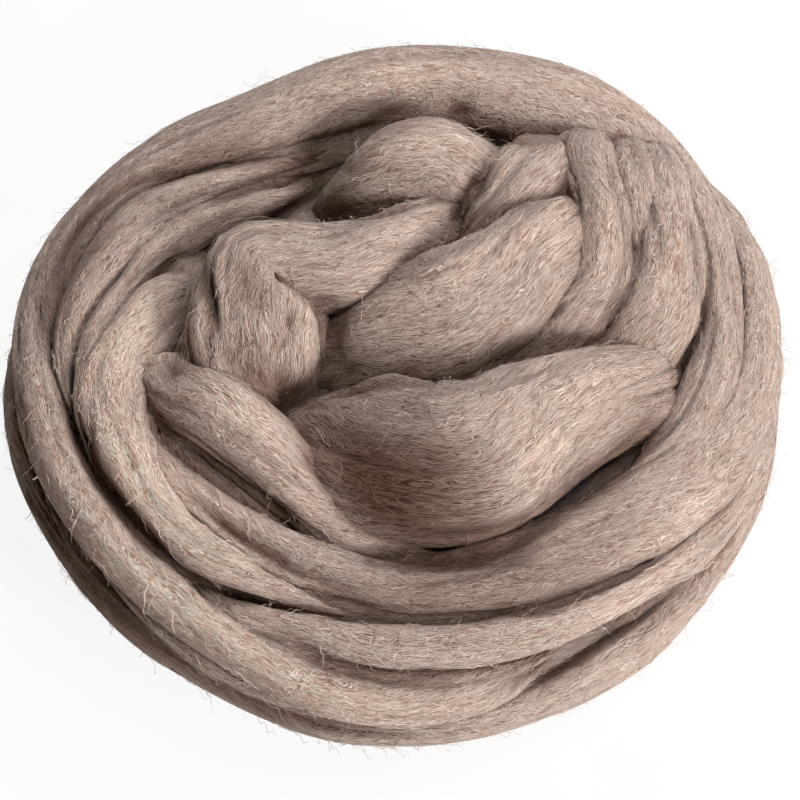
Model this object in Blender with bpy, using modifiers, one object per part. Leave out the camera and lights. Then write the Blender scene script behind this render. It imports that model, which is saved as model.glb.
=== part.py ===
"""Wool roving: one length of combed top, wound into a loose nest that lies flat.

The nest is a ring of laid turns with the rest of the length folded into its middle. Each turn
or fold is a soft strand lofted along its own path. The strands and the packed wool under them
are joined into one solid, which is flat where it rests on the floor at z = 0.
"""

import math
from collections import namedtuple

import bmesh
import bpy
from mathutils import Vector

# Driving sizes, in metres
RING_HEIGHT = 0.062  # floor to the top of the ring of laid turns
RING_TURN_RADIUS = RING_HEIGHT / 2
CORE_DEPTH = 0.009  # how far the packed wool lies under the ring's surface
HEART_REACH = 0.080  # radius of the packed wool in the ring's middle
HEART_HEIGHT = 0.050
HEART_SQUARENESS = 3
HEART_RINGS = 14
HEART_SIDES = 40
HEART_FOOT = 0.005  # floor to the packed wool, which the lowest folds hide
FLOOR_SPAN = 0.5  # side of the slab that the foot is pressed flat against
STRAND_STEP = 0.004  # spacing of a strand's sections
STRAND_SIDES = 20
TURN_SQUARENESS = 2.3  # exponent of a laid turn's section: 2 is an ellipse
TURN_SPREAD = 1.06  # a laid turn presses this much wider where it meets the next
FOLD_SQUARENESS = 2.2
CORE_BEARING_STEP = 6  # degrees between the sections of the ring's packed wool

# How the strands are joined into one solid
JOIN_GRAIN = 0.0014  # finest detail kept where strands meet
CREASE_FACTOR = 0.5  # how strongly the creases are eased
CREASE_ROUNDS = 1
SOLID_TRIANGLES = 11500  # kept on the joined solid, before its foot is cut flat

WOOL_COLOUR = (0.42, 0.30, 0.26, 1)  # dusty pink beige
WOOL_ROUGHNESS = 0.9

MM = 0.001

# The ring seen from above: bearing in degrees from +X towards +Y, then the distance in mm from
# the nest's middle to the ring's centre line
RING_PLAN = (
    (0, 92), (30, 96), (60, 97), (90, 91), (120, 85), (150, 88),
    (180, 89.5), (210, 90.5), (240, 90), (270, 92), (300, 93), (330, 93),
)

# A laid turn's section: bearing in degrees, lap in degrees outwards from the ring's top, width
# round the ring's surface, thickness, and lift off that surface, in mm
Turn = namedtuple("Turn", "bearing lap wide thick lift")

# A fold's section: the middle of the strand, its width and thickness in mm, and the lean of its
# flat side in degrees
Fold = namedtuple("Fold", "x y z wide thick lean")

TURNS = {
    "far_arch": (
        (-58, -20, 8, 12, -6),
        (-46, -20, 10, 16, -2),
        (-35, -9, 15, 18, -1),
        (-24, 3, 20, 20, 0),
        (-12, 12, 21, 20, 0),
        (0, 17, 19, 20, 0),
        (14, 22, 20, 20, 0),
        (26, 26, 28, 22, 0),
        (38, 28, 37, 24, 1),
        (50, 19, 47, 26, 2),
        (62, 11, 53, 28, 2),
        (80, 16, 50, 28, 1),
        (98, 15, 50, 28, 1),
        (114, 17, 46, 28, 0),
        (127, 22, 43, 26, 0),
        (138, 30, 38, 25, 0),
        (148, 39, 34, 24, 0),
        (158, 46, 30, 22, 0),
        (170, 49, 26, 20, -1),
        (182, 46, 20, 18, -3),
        (194, 42, 14, 16, -7),
        (204, 40, 10, 12, -10),
    ),
    "left_sweep": (
        (98, -46, 12, 12, -8),
        (112, -39, 15, 16, -4),
        (126, -30, 16, 18, -2),
        (137, -22, 19, 19, -1),
        (147, -13, 24, 20, -1),
        (158, -4, 25, 20, -1),
        (170, 8, 20, 20, -1),
        (179, 15, 16, 19, -1),
        (188, 18, 11, 18, -2),
        (198, 17, 8, 16, -4),
        (208, 16, 7, 14, -7),
        (220, 18, 8, 14, -10),
        (232, 22, 9, 14, -8),
        (242, 25, 11, 15, -4),
        (250, 25, 13, 16, -2),
        (258, 24, 16, 17, -1),
        (268, 26, 18, 18, -1),
        (282, 30, 18, 18, -1),
        (294, 33, 16, 17, -1),
        (304, 38, 14, 17, -1),
        (314, 46, 14, 16, -1),
        (324, 54, 15, 16, -1),
        (336, 62, 17, 18, -1),
        (350, 70, 19, 18, -1),
        (366, 74, 20, 18, -1),
        (384, 75, 20, 18, -2),
        (400, 76, 18, 16, -5),
        (412, 76, 12, 12, -9),
    ),
    "left_highlight": (
        (112, -54, 11, 12, -7),
        (122, -51, 15, 15, -2),
        (134, -47, 17, 16, 0),
        (146, -40, 17, 16, 0),
        (156, -33, 16, 16, 0),
        (164, -26, 14, 16, 0),
        (172, -17, 11, 15, -1),
        (180, -9, 12, 15, -1),
        (189, 2, 10, 15, -1),
        (198, 11, 8, 14, -2),
        (208, 16, 7, 12, -4),
        (218, 19, 6, 10, -9),
    ),
    "inner_left": (
        (150, -64, 14, 14, -7),
        (158, -56, 18, 18, -2),
        (167, -51, 25, 20, 1),
        (176, -42, 32, 21, 1),
        (185, -31, 32, 21, 1),
        (193, -16, 30, 21, 1),
        (201, -10, 30, 21, 1),
        (210, -5, 27, 20, 1),
        (220, 1, 22, 20, 0),
        (230, 7, 17, 18, 0),
        (240, 8, 15, 17, 0),
        (249, 8, 11, 16, -1),
        (257, 7, 9, 14, -3),
        (266, 7, 8, 12, -6),
        (276, 8, 7, 10, -10),
    ),
    "front_band": (
        (208, -30, 17, 16, -3),
        (218, -31, 23, 18, 0),
        (229, -32, 27, 20, 0),
        (240, -28, 28, 20, -1),
        (249, -25, 29, 20, -1),
        (258, -23, 29, 21, -1),
        (270, -19, 31, 23, -1),
        (284, -16, 32, 23, 0),
        (297, -13, 35, 24, 0),
        (309, -5, 37, 23, 0),
        (319, 6, 38, 22, 0),
        (328, 20, 36, 22, 0),
        (338, 35, 31, 22, 0),
        (348, 47, 27, 22, 1),
        (358, 54, 26, 22, 2),
        (367, 57, 25, 22, 2),
        (376, 61, 23, 21, 1),
        (386, 66, 20, 18, -4),
        (398, 70, 16, 14, -9),
    ),
    "bright_rim": (
        (30, 84, 18, 16, -7),
        (50, 82, 20, 18, -3),
        (75, 80, 21, 18, -1),
        (105, 80, 21, 18, -1),
        (135, 77, 21, 18, -1),
        (156, 70, 20, 18, 0),
        (170, 59, 20, 18, 0),
        (182, 49, 20, 18, 0),
        (194, 41, 22, 18, 0),
        (206, 38, 22, 18, 0),
        (218, 37, 23, 18, 0),
        (230, 39, 23, 18, 0),
        (241, 44, 20, 18, 0),
        (252, 52, 20, 18, 0),
        (263, 59, 22, 18, 0),
        (273, 63, 21, 18, 0),
        (281, 61, 18, 16, 0),
        (289, 58, 12, 14, -2),
        (297, 53, 8, 12, -6),
        (306, 52, 7, 10, -10),
    ),
    "under_rim": (
        (214, 60, 8, 12, -7),
        (224, 62, 10, 13, -4),
        (234, 66, 12, 14, -2),
        (244, 70, 12, 14, -1),
        (254, 74, 11, 13, -2),
        (264, 78, 9, 12, -5),
        (274, 80, 7, 10, -9),
    ),
    "outer_turn": (
        (-12, 104, 18, 16, -6),
        (2, 102, 24, 20, 1),
        (14, 100, 27, 21, 4),
        (26, 100, 28, 21, 4),
        (38, 102, 28, 20, 1),
        (54, 105, 28, 20, -1),
        (78, 105, 28, 20, 0),
        (110, 106, 28, 20, 0),
        (145, 104, 28, 20, 0),
        (170, 98, 27, 20, 0),
        (188, 90, 27, 20, 0),
        (203, 86, 25, 20, -1),
        (218, 86, 24, 20, -1),
        (232, 91, 25, 20, -1),
        (246, 98, 24, 20, -1),
        (260, 101, 24, 20, 0),
        (273, 99, 24, 20, 0),
        (285, 92, 28, 20, 0),
        (297, 84, 32, 20, 0),
        (308, 81, 31, 20, 0),
        (320, 84, 28, 20, -2),
        (334, 88, 26, 20, -2),
        (350, 92, 25, 20, -1),
        (366, 96, 20, 18, -4),
        (380, 98, 14, 14, -8),
    ),
    "low_turn": (
        (-12, 132, 18, 16, -5),
        (10, 130, 26, 20, 0),
        (60, 132, 28, 22, 0),
        (120, 133, 28, 22, 0),
        (180, 130, 28, 22, 0),
        (225, 130, 28, 22, -1),
        (270, 132, 28, 22, 0),
        (310, 128, 28, 22, 0),
        (345, 130, 24, 20, -1),
        (368, 132, 16, 16, -6),
    ),
    "floor_turn": (
        (-12, 158, 20, 16, -4),
        (15, 158, 28, 22, 1),
        (75, 159, 28, 22, 1),
        (140, 158, 28, 22, 1),
        (205, 157, 28, 22, 1),
        (270, 159, 28, 22, 1),
        (330, 158, 26, 22, 1),
        (366, 158, 18, 16, -4),
    ),
}

FOLDS = {
    "crown_loop": (
        (-23, 49, 36, 11, 13, 0),
        (-15, 50, 45, 17, 18, -4),
        (-6, 51, 54, 25, 23, -8),
        (3, 53, 59, 31, 26, -10),
        (13, 54, 61, 33, 26, -10),
        (22, 52, 60, 33, 26, -6),
        (28, 48, 57, 30, 24, 0),
        (31, 44, 48, 22, 18, 0),
    ),
    "crown_return": (
        (33, 54, 40, 14, 14, 0),
        (24, 42, 51, 18, 18, 0),
        (13, 32, 57, 22, 21, -6),
        (2, 24, 60, 27, 23, -10),
        (-9, 17, 62, 31, 23, -12),
        (-20, 14, 63, 31, 23, -10),
        (-32, 15, 65, 27, 22, -8),
        (-40, 13, 66, 29, 22, -6),
        (-43, 6, 65, 31, 23, -4),
        (-42, -1, 63, 35, 24, -2),
        (-41, -8, 60, 39, 26, 0),
        (-40, -14, 56, 41, 26, 0),
        (-39, -20, 48, 34, 21, 0),
        (-37, -24, 39, 20, 14, 0),
    ),
    "knob_front": (
        (-30, 8, 48, 14, 14, 0),
        (-29, 1, 55, 19, 20, 0),
        (-29, -6, 58, 21, 23, 0),
        (-30, -13, 57, 21, 22, 0),
        (-31, -18, 52, 19, 19, 0),
        (-36, -23, 43, 13, 13, 0),
    ),
    "knob_side": (
        (-50, 12, 36, 10, 12, 0),
        (-52, 4, 44, 13, 16, 0),
        (-54, -4, 49, 17, 19, 0),
        (-55, -10, 50, 19, 20, 0),
        (-52, -14, 48, 19, 19, 0),
        (-44, -14, 41, 16, 16, 0),
        (-36, -16, 32, 11, 12, 0),
    ),
    "diagonal": (
        (-65, -12, 40, 19, 16, 0),
        (-65, -20, 49, 23, 22, -6),
        (-58, -28, 54, 25, 24, -14),
        (-49, -34, 57, 26, 25, -18),
        (-41, -41, 56, 26, 25, -18),
        (-33, -48, 55, 25, 24, -18),
        (-25, -55, 53, 23, 22, -14),
        (-17, -62, 51, 21, 20, -10),
        (-7, -68, 49, 18, 18, -4),
        (5, -72, 46, 15, 15, 0),
        (17, -73, 41, 11, 12, 0),
    ),
    "big_lobe": (
        (-28, -32, 38, 22, 22, 0),
        (-18, -39, 49, 37, 27, -10),
        (-5, -46, 56, 48, 30, -14),
        (11, -52, 61, 49, 32, -14),
        (25, -50, 63, 48, 32, -14),
        (38, -42, 64, 39, 30, -12),
        (49, -35, 63, 33, 29, -8),
        (60, -29, 60, 28, 27, -4),
        (73, -23, 55, 24, 24, 0),
        (83, -17, 45, 16, 17, 0),
    ),
    "lobe_hem": (
        (-2, -60, 38, 12, 14, 0),
        (10, -63, 49, 19, 19, -10),
        (22, -62, 55, 24, 22, -14),
        (34, -57, 58, 24, 23, -14),
        (45, -49, 58, 22, 22, -10),
        (57, -41, 59, 21, 22, -6),
        (68, -34, 57, 20, 20, 0),
        (79, -27, 52, 18, 17, 0),
    ),
    "middle_lobe": (
        (-24, -12, 34, 20, 20, 0),
        (-15, -9, 46, 28, 24, -4),
        (2, -6, 56, 39, 28, -8),
        (18, -3, 61, 43, 29, -10),
        (31, 4, 64, 38, 28, -10),
        (40, 12, 65, 32, 28, -8),
        (48, 20, 64, 31, 27, -4),
        (56, 29, 59, 27, 24, 0),
        (61, 40, 48, 19, 18, 0),
    ),
    "upper_fold": (
        (50, 78, 38, 26, 13, 0),
        (50, 71, 44, 29, 15, 0),
        (49, 64, 51, 30, 19, 0),
        (48, 56, 58, 30, 22, 0),
        (45, 49, 62, 30, 23, 4),
        (39, 42, 63, 28, 23, 4),
        (32, 34, 60, 24, 22, 0),
        (25, 28, 54, 19, 18, 0),
        (14, 24, 45, 15, 15, 0),
    ),
    "right_crescent": (
        (64, 80, 40, 20, 13, 0),
        (64, 69, 50, 22, 17, 0),
        (62, 57, 59, 24, 21, 0),
        (64, 44, 63, 22, 21, 0),
        (65, 31, 65, 19, 22, 0),
        (64, 18, 65, 19, 22, 0),
        (63, 8, 62, 21, 21, 0),
        (57, 1, 58, 22, 21, 0),
        (50, -4, 54, 22, 20, 0),
        (42, -8, 51, 22, 19, 0),
        (32, -11, 48, 22, 18, 0),
        (18, -13, 47, 20, 17, 0),
        (3, -15, 45, 18, 16, 0),
        (-10, -17, 41, 14, 14, 0),
    ),
    "foot_left": (
        (-58, -50, 13, 26, 20, 0),
        (-56, -30, 10, 40, 24, 0),
        (-56, -4, 10, 48, 25, 0),
        (-46, 24, 10, 50, 25, 0),
        (-22, 46, 10, 48, 25, 0),
        (8, 56, 10, 40, 24, 0),
        (32, 58, 13, 26, 20, 0),
    ),
    "foot_right": (
        (52, 50, 13, 26, 20, 0),
        (58, 30, 10, 40, 24, 0),
        (58, 2, 10, 48, 25, 0),
        (48, -26, 10, 50, 25, 0),
        (24, -47, 10, 48, 25, 0),
        (-8, -56, 10, 40, 24, 0),
        (-34, -58, 13, 26, 20, 0),
    ),
    "foot_middle": (
        (-40, -34, 12, 40, 22, 0),
        (-22, -18, 10, 50, 24, 0),
        (0, 0, 10, 54, 24, 0),
        (22, 20, 10, 50, 24, 0),
        (40, 38, 12, 38, 22, 0),
    ),
    "outer_crescent": (
        (80, 75, 40, 20, 14, 0),
        (82, 61, 52, 21, 18, 0),
        (83, 46, 60, 21, 20, 0),
        (84, 32, 62, 21, 21, 0),
        (84, 18, 62, 23, 22, 0),
        (82, 7, 61, 26, 22, 0),
        (78, -3, 59, 28, 22, 0),
        (72, -10, 55, 27, 20, 0),
        (64, -15, 49, 22, 17, 0),
    ),
    "between_crescents": (
        (72, 77, 41, 20, 13, 0),
        (75, 63, 53, 20, 17, 0),
        (76, 46, 61, 19, 20, 0),
        (76, 34, 62, 17, 20, 0),
        (76, 24, 61, 16, 19, 0),
        (76, 15, 59, 13, 18, 0),
        (72, 6, 57, 13, 17, 0),
        (67, -2, 53, 12, 15, 0),
    ),
}


def spline(values, along):
    """The value at `along` (0 to len - 1) on a smooth curve through a row of numbers."""
    last = len(values) - 1
    start = min(int(along), last - 1)
    part = along - start
    before, first, second, after = (
        values[min(max(index, 0), last)] for index in range(start - 1, start + 3)
    )
    pull = (second - before) / 2
    push = (after - first) / 2
    rise = second - first
    return first + part * (
        pull + part * (3 * rise - 2 * pull - push + part * (pull + push - 2 * rise))
    )


def ring_plan(bearing):
    """Distance from the nest's middle to the ring's centre line, in metres."""
    gap = 360 / len(RING_PLAN)
    reaches = [reach for _, reach in RING_PLAN]
    looped = reaches[-1:] + reaches + reaches[:2]
    return spline(looped, (bearing % 360) / gap + 1) * MM


def ring_point(bearing, lap, reach):
    """A point at `reach` from the ring's centre line, `lap` radians outwards from its top."""
    out = ring_plan(bearing) + reach * math.sin(lap)
    angle = math.radians(bearing)
    height = RING_TURN_RADIUS + reach * math.cos(lap)
    return Vector((out * math.cos(angle), out * math.sin(angle), height))


def squared(wave, squareness):
    """A cosine or sine drawn out towards the corners of a superellipse."""
    return math.copysign(abs(wave) ** (2 / squareness), wave)


def section_outline(wide, thick, squareness):
    """(across, up) round a strand's soft section, anticlockwise as seen along the strand."""
    for side in range(STRAND_SIDES):
        angle = 2 * math.pi * side / STRAND_SIDES
        across = squared(math.cos(angle), squareness) * wide / 2
        yield across, squared(math.sin(angle), squareness) * thick / 2


def turn_section(turn):
    """The section of a laid turn, bent to lie on the ring."""
    reach = RING_TURN_RADIUS + (turn.lift - turn.thick / 2) * MM
    wide = turn.wide * TURN_SPREAD * MM
    section = []
    for across, up in section_outline(wide, turn.thick * MM, TURN_SQUARENESS):
        lap = math.radians(turn.lap) + across / RING_TURN_RADIUS
        section.append(ring_point(turn.bearing, lap, reach + up))
    return section


def fold_section(fold, heading):
    """The section of a fold, square to its heading, with its flat side leaning."""
    side = heading.cross(Vector((0, 0, 1))).normalized()
    crown = side.cross(heading)
    lean = math.radians(fold.lean)
    side, crown = (
        side * math.cos(lean) + crown * math.sin(lean),
        crown * math.cos(lean) - side * math.sin(lean),
    )
    middle = Vector((fold.x, fold.y, fold.z)) * MM
    return [
        middle + side * across + crown * up
        for across, up in section_outline(fold.wide * MM, fold.thick * MM, FOLD_SQUARENESS)
    ]


def resampled(kind, rows, distance):
    """The rows of a strand's table, filled in evenly along its smooth path."""
    columns = list(zip(*rows))
    row = 0
    filled = []
    while row < len(rows) - 1:
        span = distance(kind(*rows[row]), kind(*rows[row + 1]))
        steps = max(1, round(span / STRAND_STEP))
        for step in range(steps):
            filled.append(kind(*(spline(column, row + step / steps) for column in columns)))
        row += 1
    filled.append(kind(*rows[-1]))
    return filled


def turn_distance(first, second):
    ahead = ring_point(second.bearing, math.radians(second.lap), RING_TURN_RADIUS)
    return (ahead - ring_point(first.bearing, math.radians(first.lap), RING_TURN_RADIUS)).length


def fold_distance(first, second):
    return (Vector(second[:3]) - Vector(first[:3])).length * MM


def lofted(name, sections, collection):
    """A closed body through its sections, which all have the same number of points."""
    mesh = bmesh.new()
    rings = [[mesh.verts.new(point) for point in section] for section in sections]
    sides = len(rings[0])
    for first, second in zip(rings, rings[1:]):
        for side in range(sides):
            after = (side + 1) % sides
            mesh.faces.new((first[side], first[after], second[after], second[side]))
    mesh.faces.new(reversed(rings[0]))
    mesh.faces.new(rings[-1])
    bmesh.ops.recalc_face_normals(mesh, faces=mesh.faces)
    data = bpy.data.meshes.new(name)
    mesh.to_mesh(data)
    mesh.free()
    strand = bpy.data.objects.new(name, data)
    collection.objects.link(strand)
    return strand


def laid_turn(name, collection):
    turns = resampled(Turn, TURNS[name], turn_distance)
    return lofted(name, [turn_section(turn) for turn in turns], collection)


def inner_fold(name, collection):
    folds = resampled(Fold, FOLDS[name], fold_distance)
    middles = [Vector(fold[:3]) for fold in folds]
    ahead = middles[1:] + middles[-1:]
    behind = middles[:1] + middles[:-1]
    headings = [(after - before).normalized() for before, after in zip(behind, ahead)]
    sections = [fold_section(fold, heading) for fold, heading in zip(folds, headings)]
    return lofted(name, sections, collection)


def ring_core(collection):
    """The packed wool inside the ring."""
    reach = RING_TURN_RADIUS - CORE_DEPTH
    sections = [
        [
            ring_point(bearing, 2 * math.pi * side / STRAND_SIDES, reach)
            for side in range(STRAND_SIDES)
        ]
        for bearing in range(0, 360 + CORE_BEARING_STEP, CORE_BEARING_STEP)
    ]
    return lofted("ring_core", sections, collection)


def heart_section(fall):
    """A level ring of the heart's domed side, `fall` radians down from its top."""
    reach = HEART_REACH * squared(math.sin(fall), HEART_SQUARENESS)
    height = max(HEART_FOOT, HEART_HEIGHT * squared(math.cos(fall), HEART_SQUARENESS))
    bearings = [2 * math.pi * side / HEART_SIDES for side in range(HEART_SIDES)]
    return [Vector((reach * math.cos(b), reach * math.sin(b), height)) for b in bearings]


def heart(collection):
    """The packed wool in the ring's middle."""
    falls = [math.pi / 2 * (ring + 1) / HEART_RINGS for ring in range(HEART_RINGS)]
    return lofted("heart", [heart_section(fall) for fall in falls], collection)


def evaluated_mesh(source):
    graph = bpy.context.evaluated_depsgraph_get()
    return bpy.data.meshes.new_from_object(source.evaluated_get(graph))


def outer_shell_only(data):
    """Removes every loose shell of the mesh but the largest."""
    mesh = bmesh.new()
    mesh.from_mesh(data)
    unseen = set(mesh.verts)
    shells = []
    while unseen:
        shell = set()
        edge_of_shell = [unseen.pop()]
        while edge_of_shell:
            vertex = edge_of_shell.pop()
            shell.add(vertex)
            for edge in vertex.link_edges:
                other = edge.other_vert(vertex)
                if other in unseen:
                    unseen.remove(other)
                    edge_of_shell.append(other)
        shells.append(shell)
    shells.sort(key=len)
    for shell in shells[:-1]:
        bmesh.ops.delete(mesh, geom=list(shell), context="VERTS")
    mesh.to_mesh(data)
    mesh.free()


def joined(name, pieces, collection):
    """The pieces grown into one closed skin, thinned to the faces that the solid keeps."""
    data = bpy.data.meshes.new(name)
    mesh = bmesh.new()
    for piece in pieces:
        mesh.from_mesh(piece.data)
    mesh.to_mesh(data)
    mesh.free()
    whole = bpy.data.objects.new(name, data)
    collection.objects.link(whole)
    grow = whole.modifiers.new("grow together", "REMESH")
    grow.mode = "VOXEL"
    grow.voxel_size = JOIN_GRAIN
    ease = whole.modifiers.new("ease the creases", "SMOOTH")
    ease.factor = CREASE_FACTOR
    ease.iterations = CREASE_ROUNDS
    whole.data = evaluated_mesh(whole)
    whole.modifiers.clear()
    outer_shell_only(whole.data)
    thin = whole.modifiers.new("thin out", "DECIMATE")
    whole.data.calc_loop_triangles()
    thin.ratio = SOLID_TRIANGLES / len(whole.data.loop_triangles)
    whole.data = evaluated_mesh(whole)
    whole.modifiers.clear()
    return whole


def floor_cutter(collection):
    """A slab under z = 0, which presses the nest's foot flat."""
    depth = RING_HEIGHT
    bpy.ops.mesh.primitive_cube_add(size=1, location=(0, 0, -depth / 2))
    slab = bpy.context.object
    slab.name = "floor_slab"
    slab.scale = (FLOOR_SPAN, FLOOR_SPAN, depth)
    bpy.ops.object.transform_apply(location=False, rotation=False, scale=True)
    slab.hide_render = True
    slab.display_type = "WIRE"
    for owner in slab.users_collection:
        owner.objects.unlink(slab)
    collection.objects.link(slab)
    return slab


def wool_material():
    wool = bpy.data.materials.new("combed_wool")
    wool.use_nodes = True
    shader = wool.node_tree.nodes["Principled BSDF"]
    shader.inputs["Base Color"].default_value = WOOL_COLOUR
    shader.inputs["Roughness"].default_value = WOOL_ROUGHNESS
    shader.inputs["Metallic"].default_value = 0
    return wool


def clear_scene():
    for item in list(bpy.data.objects):
        bpy.data.objects.remove(item, do_unlink=True)


def new_collection(name):
    collection = bpy.data.collections.new(name)
    bpy.context.scene.collection.children.link(collection)
    return collection


def main():
    clear_scene()
    nest_collection = new_collection("wool_roving")
    guides = new_collection("cutters")
    pieces = [laid_turn(name, guides) for name in TURNS]
    pieces += [inner_fold(name, guides) for name in FOLDS]
    pieces += [ring_core(guides), heart(guides)]
    nest = joined("roving_nest", pieces, nest_collection)
    for piece in pieces:
        bpy.data.objects.remove(piece, do_unlink=True)
    press = nest.modifiers.new("pressed flat", "BOOLEAN")
    press.operation = "DIFFERENCE"
    press.object = floor_cutter(guides)
    nest.data.materials.append(wool_material())
    nest.data.shade_smooth()


if __name__ == "__main__":
    main()
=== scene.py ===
import math

import bpy
import numpy as np
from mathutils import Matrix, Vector, noise
from mathutils.bvhtree import BVHTree


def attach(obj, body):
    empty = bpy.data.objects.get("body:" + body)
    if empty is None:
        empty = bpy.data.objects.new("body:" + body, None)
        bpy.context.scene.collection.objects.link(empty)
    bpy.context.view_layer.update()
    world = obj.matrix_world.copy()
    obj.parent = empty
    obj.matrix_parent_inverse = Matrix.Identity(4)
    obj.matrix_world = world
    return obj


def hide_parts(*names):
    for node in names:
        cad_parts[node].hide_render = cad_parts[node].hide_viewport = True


# Wool roving: a loose nest of combed wool top, strand by strand, with its loose fibres

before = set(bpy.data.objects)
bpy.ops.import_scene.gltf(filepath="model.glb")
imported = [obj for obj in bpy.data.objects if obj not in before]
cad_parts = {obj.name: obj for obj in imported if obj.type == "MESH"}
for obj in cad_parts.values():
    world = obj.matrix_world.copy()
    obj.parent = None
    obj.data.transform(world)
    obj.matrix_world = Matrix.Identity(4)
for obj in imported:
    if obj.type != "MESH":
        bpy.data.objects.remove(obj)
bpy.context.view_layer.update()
mm = 0.001

# the view that the photograph has of the nest
view = {
    "target": (0.0031, -0.0129, 0.030),
    "distance": 0.486,
    "elevation": 60,
    "lens": 70,
    "nearest": 0.01,
}


def placeCamera():
    camera = bpy.data.objects.new("viewCamera", bpy.data.cameras.new("viewCamera"))
    bpy.context.scene.collection.objects.link(camera)
    tilt = math.radians(view["elevation"])
    back = Vector((0, -math.cos(tilt), math.sin(tilt)))
    camera.location = Vector(view["target"]) + back * view["distance"]
    camera.rotation_euler = (math.pi / 2 - tilt, 0, 0)
    camera.data.lens = view["lens"]
    camera.data.clip_start = view["nearest"]
    bpy.context.scene.camera = camera


placeCamera()
print("camera placed")


# the nest's own sizes; the strands' tables below are in mm and degrees
nest = {
    "ringHeight": 62,
    "ringPlan": (92, 96, 97, 91, 85, 88, 89.5, 90.5, 90, 92, 93, 93),  # every 30 degrees from +X
    "turnSquareness": 2.3,  # of a strand's section: 2 is an ellipse
    "foldSquareness": 2.2,
    "turnSpread": 1.06,  # a laid turn presses this much wider where it meets the next
    "alongStep": 3.0,
    "fineSteps": 40,  # for each row of a table, where its length is measured
    "outerStep": 1.15,  # round the part of a section that shows
    "leastOuter": 10,  # steps
    "innerStep": 4.0,  # round the part that lies on the wool under it
    "leastInner": 3,
    "outerTurn": 1.36,  # share of half a turn that shows
    "offFloor": 0.05,
    "laySeed": 37,  # from one strand's fibre pattern to the next
}
ringRadius = nest["ringHeight"] / 2

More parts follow.
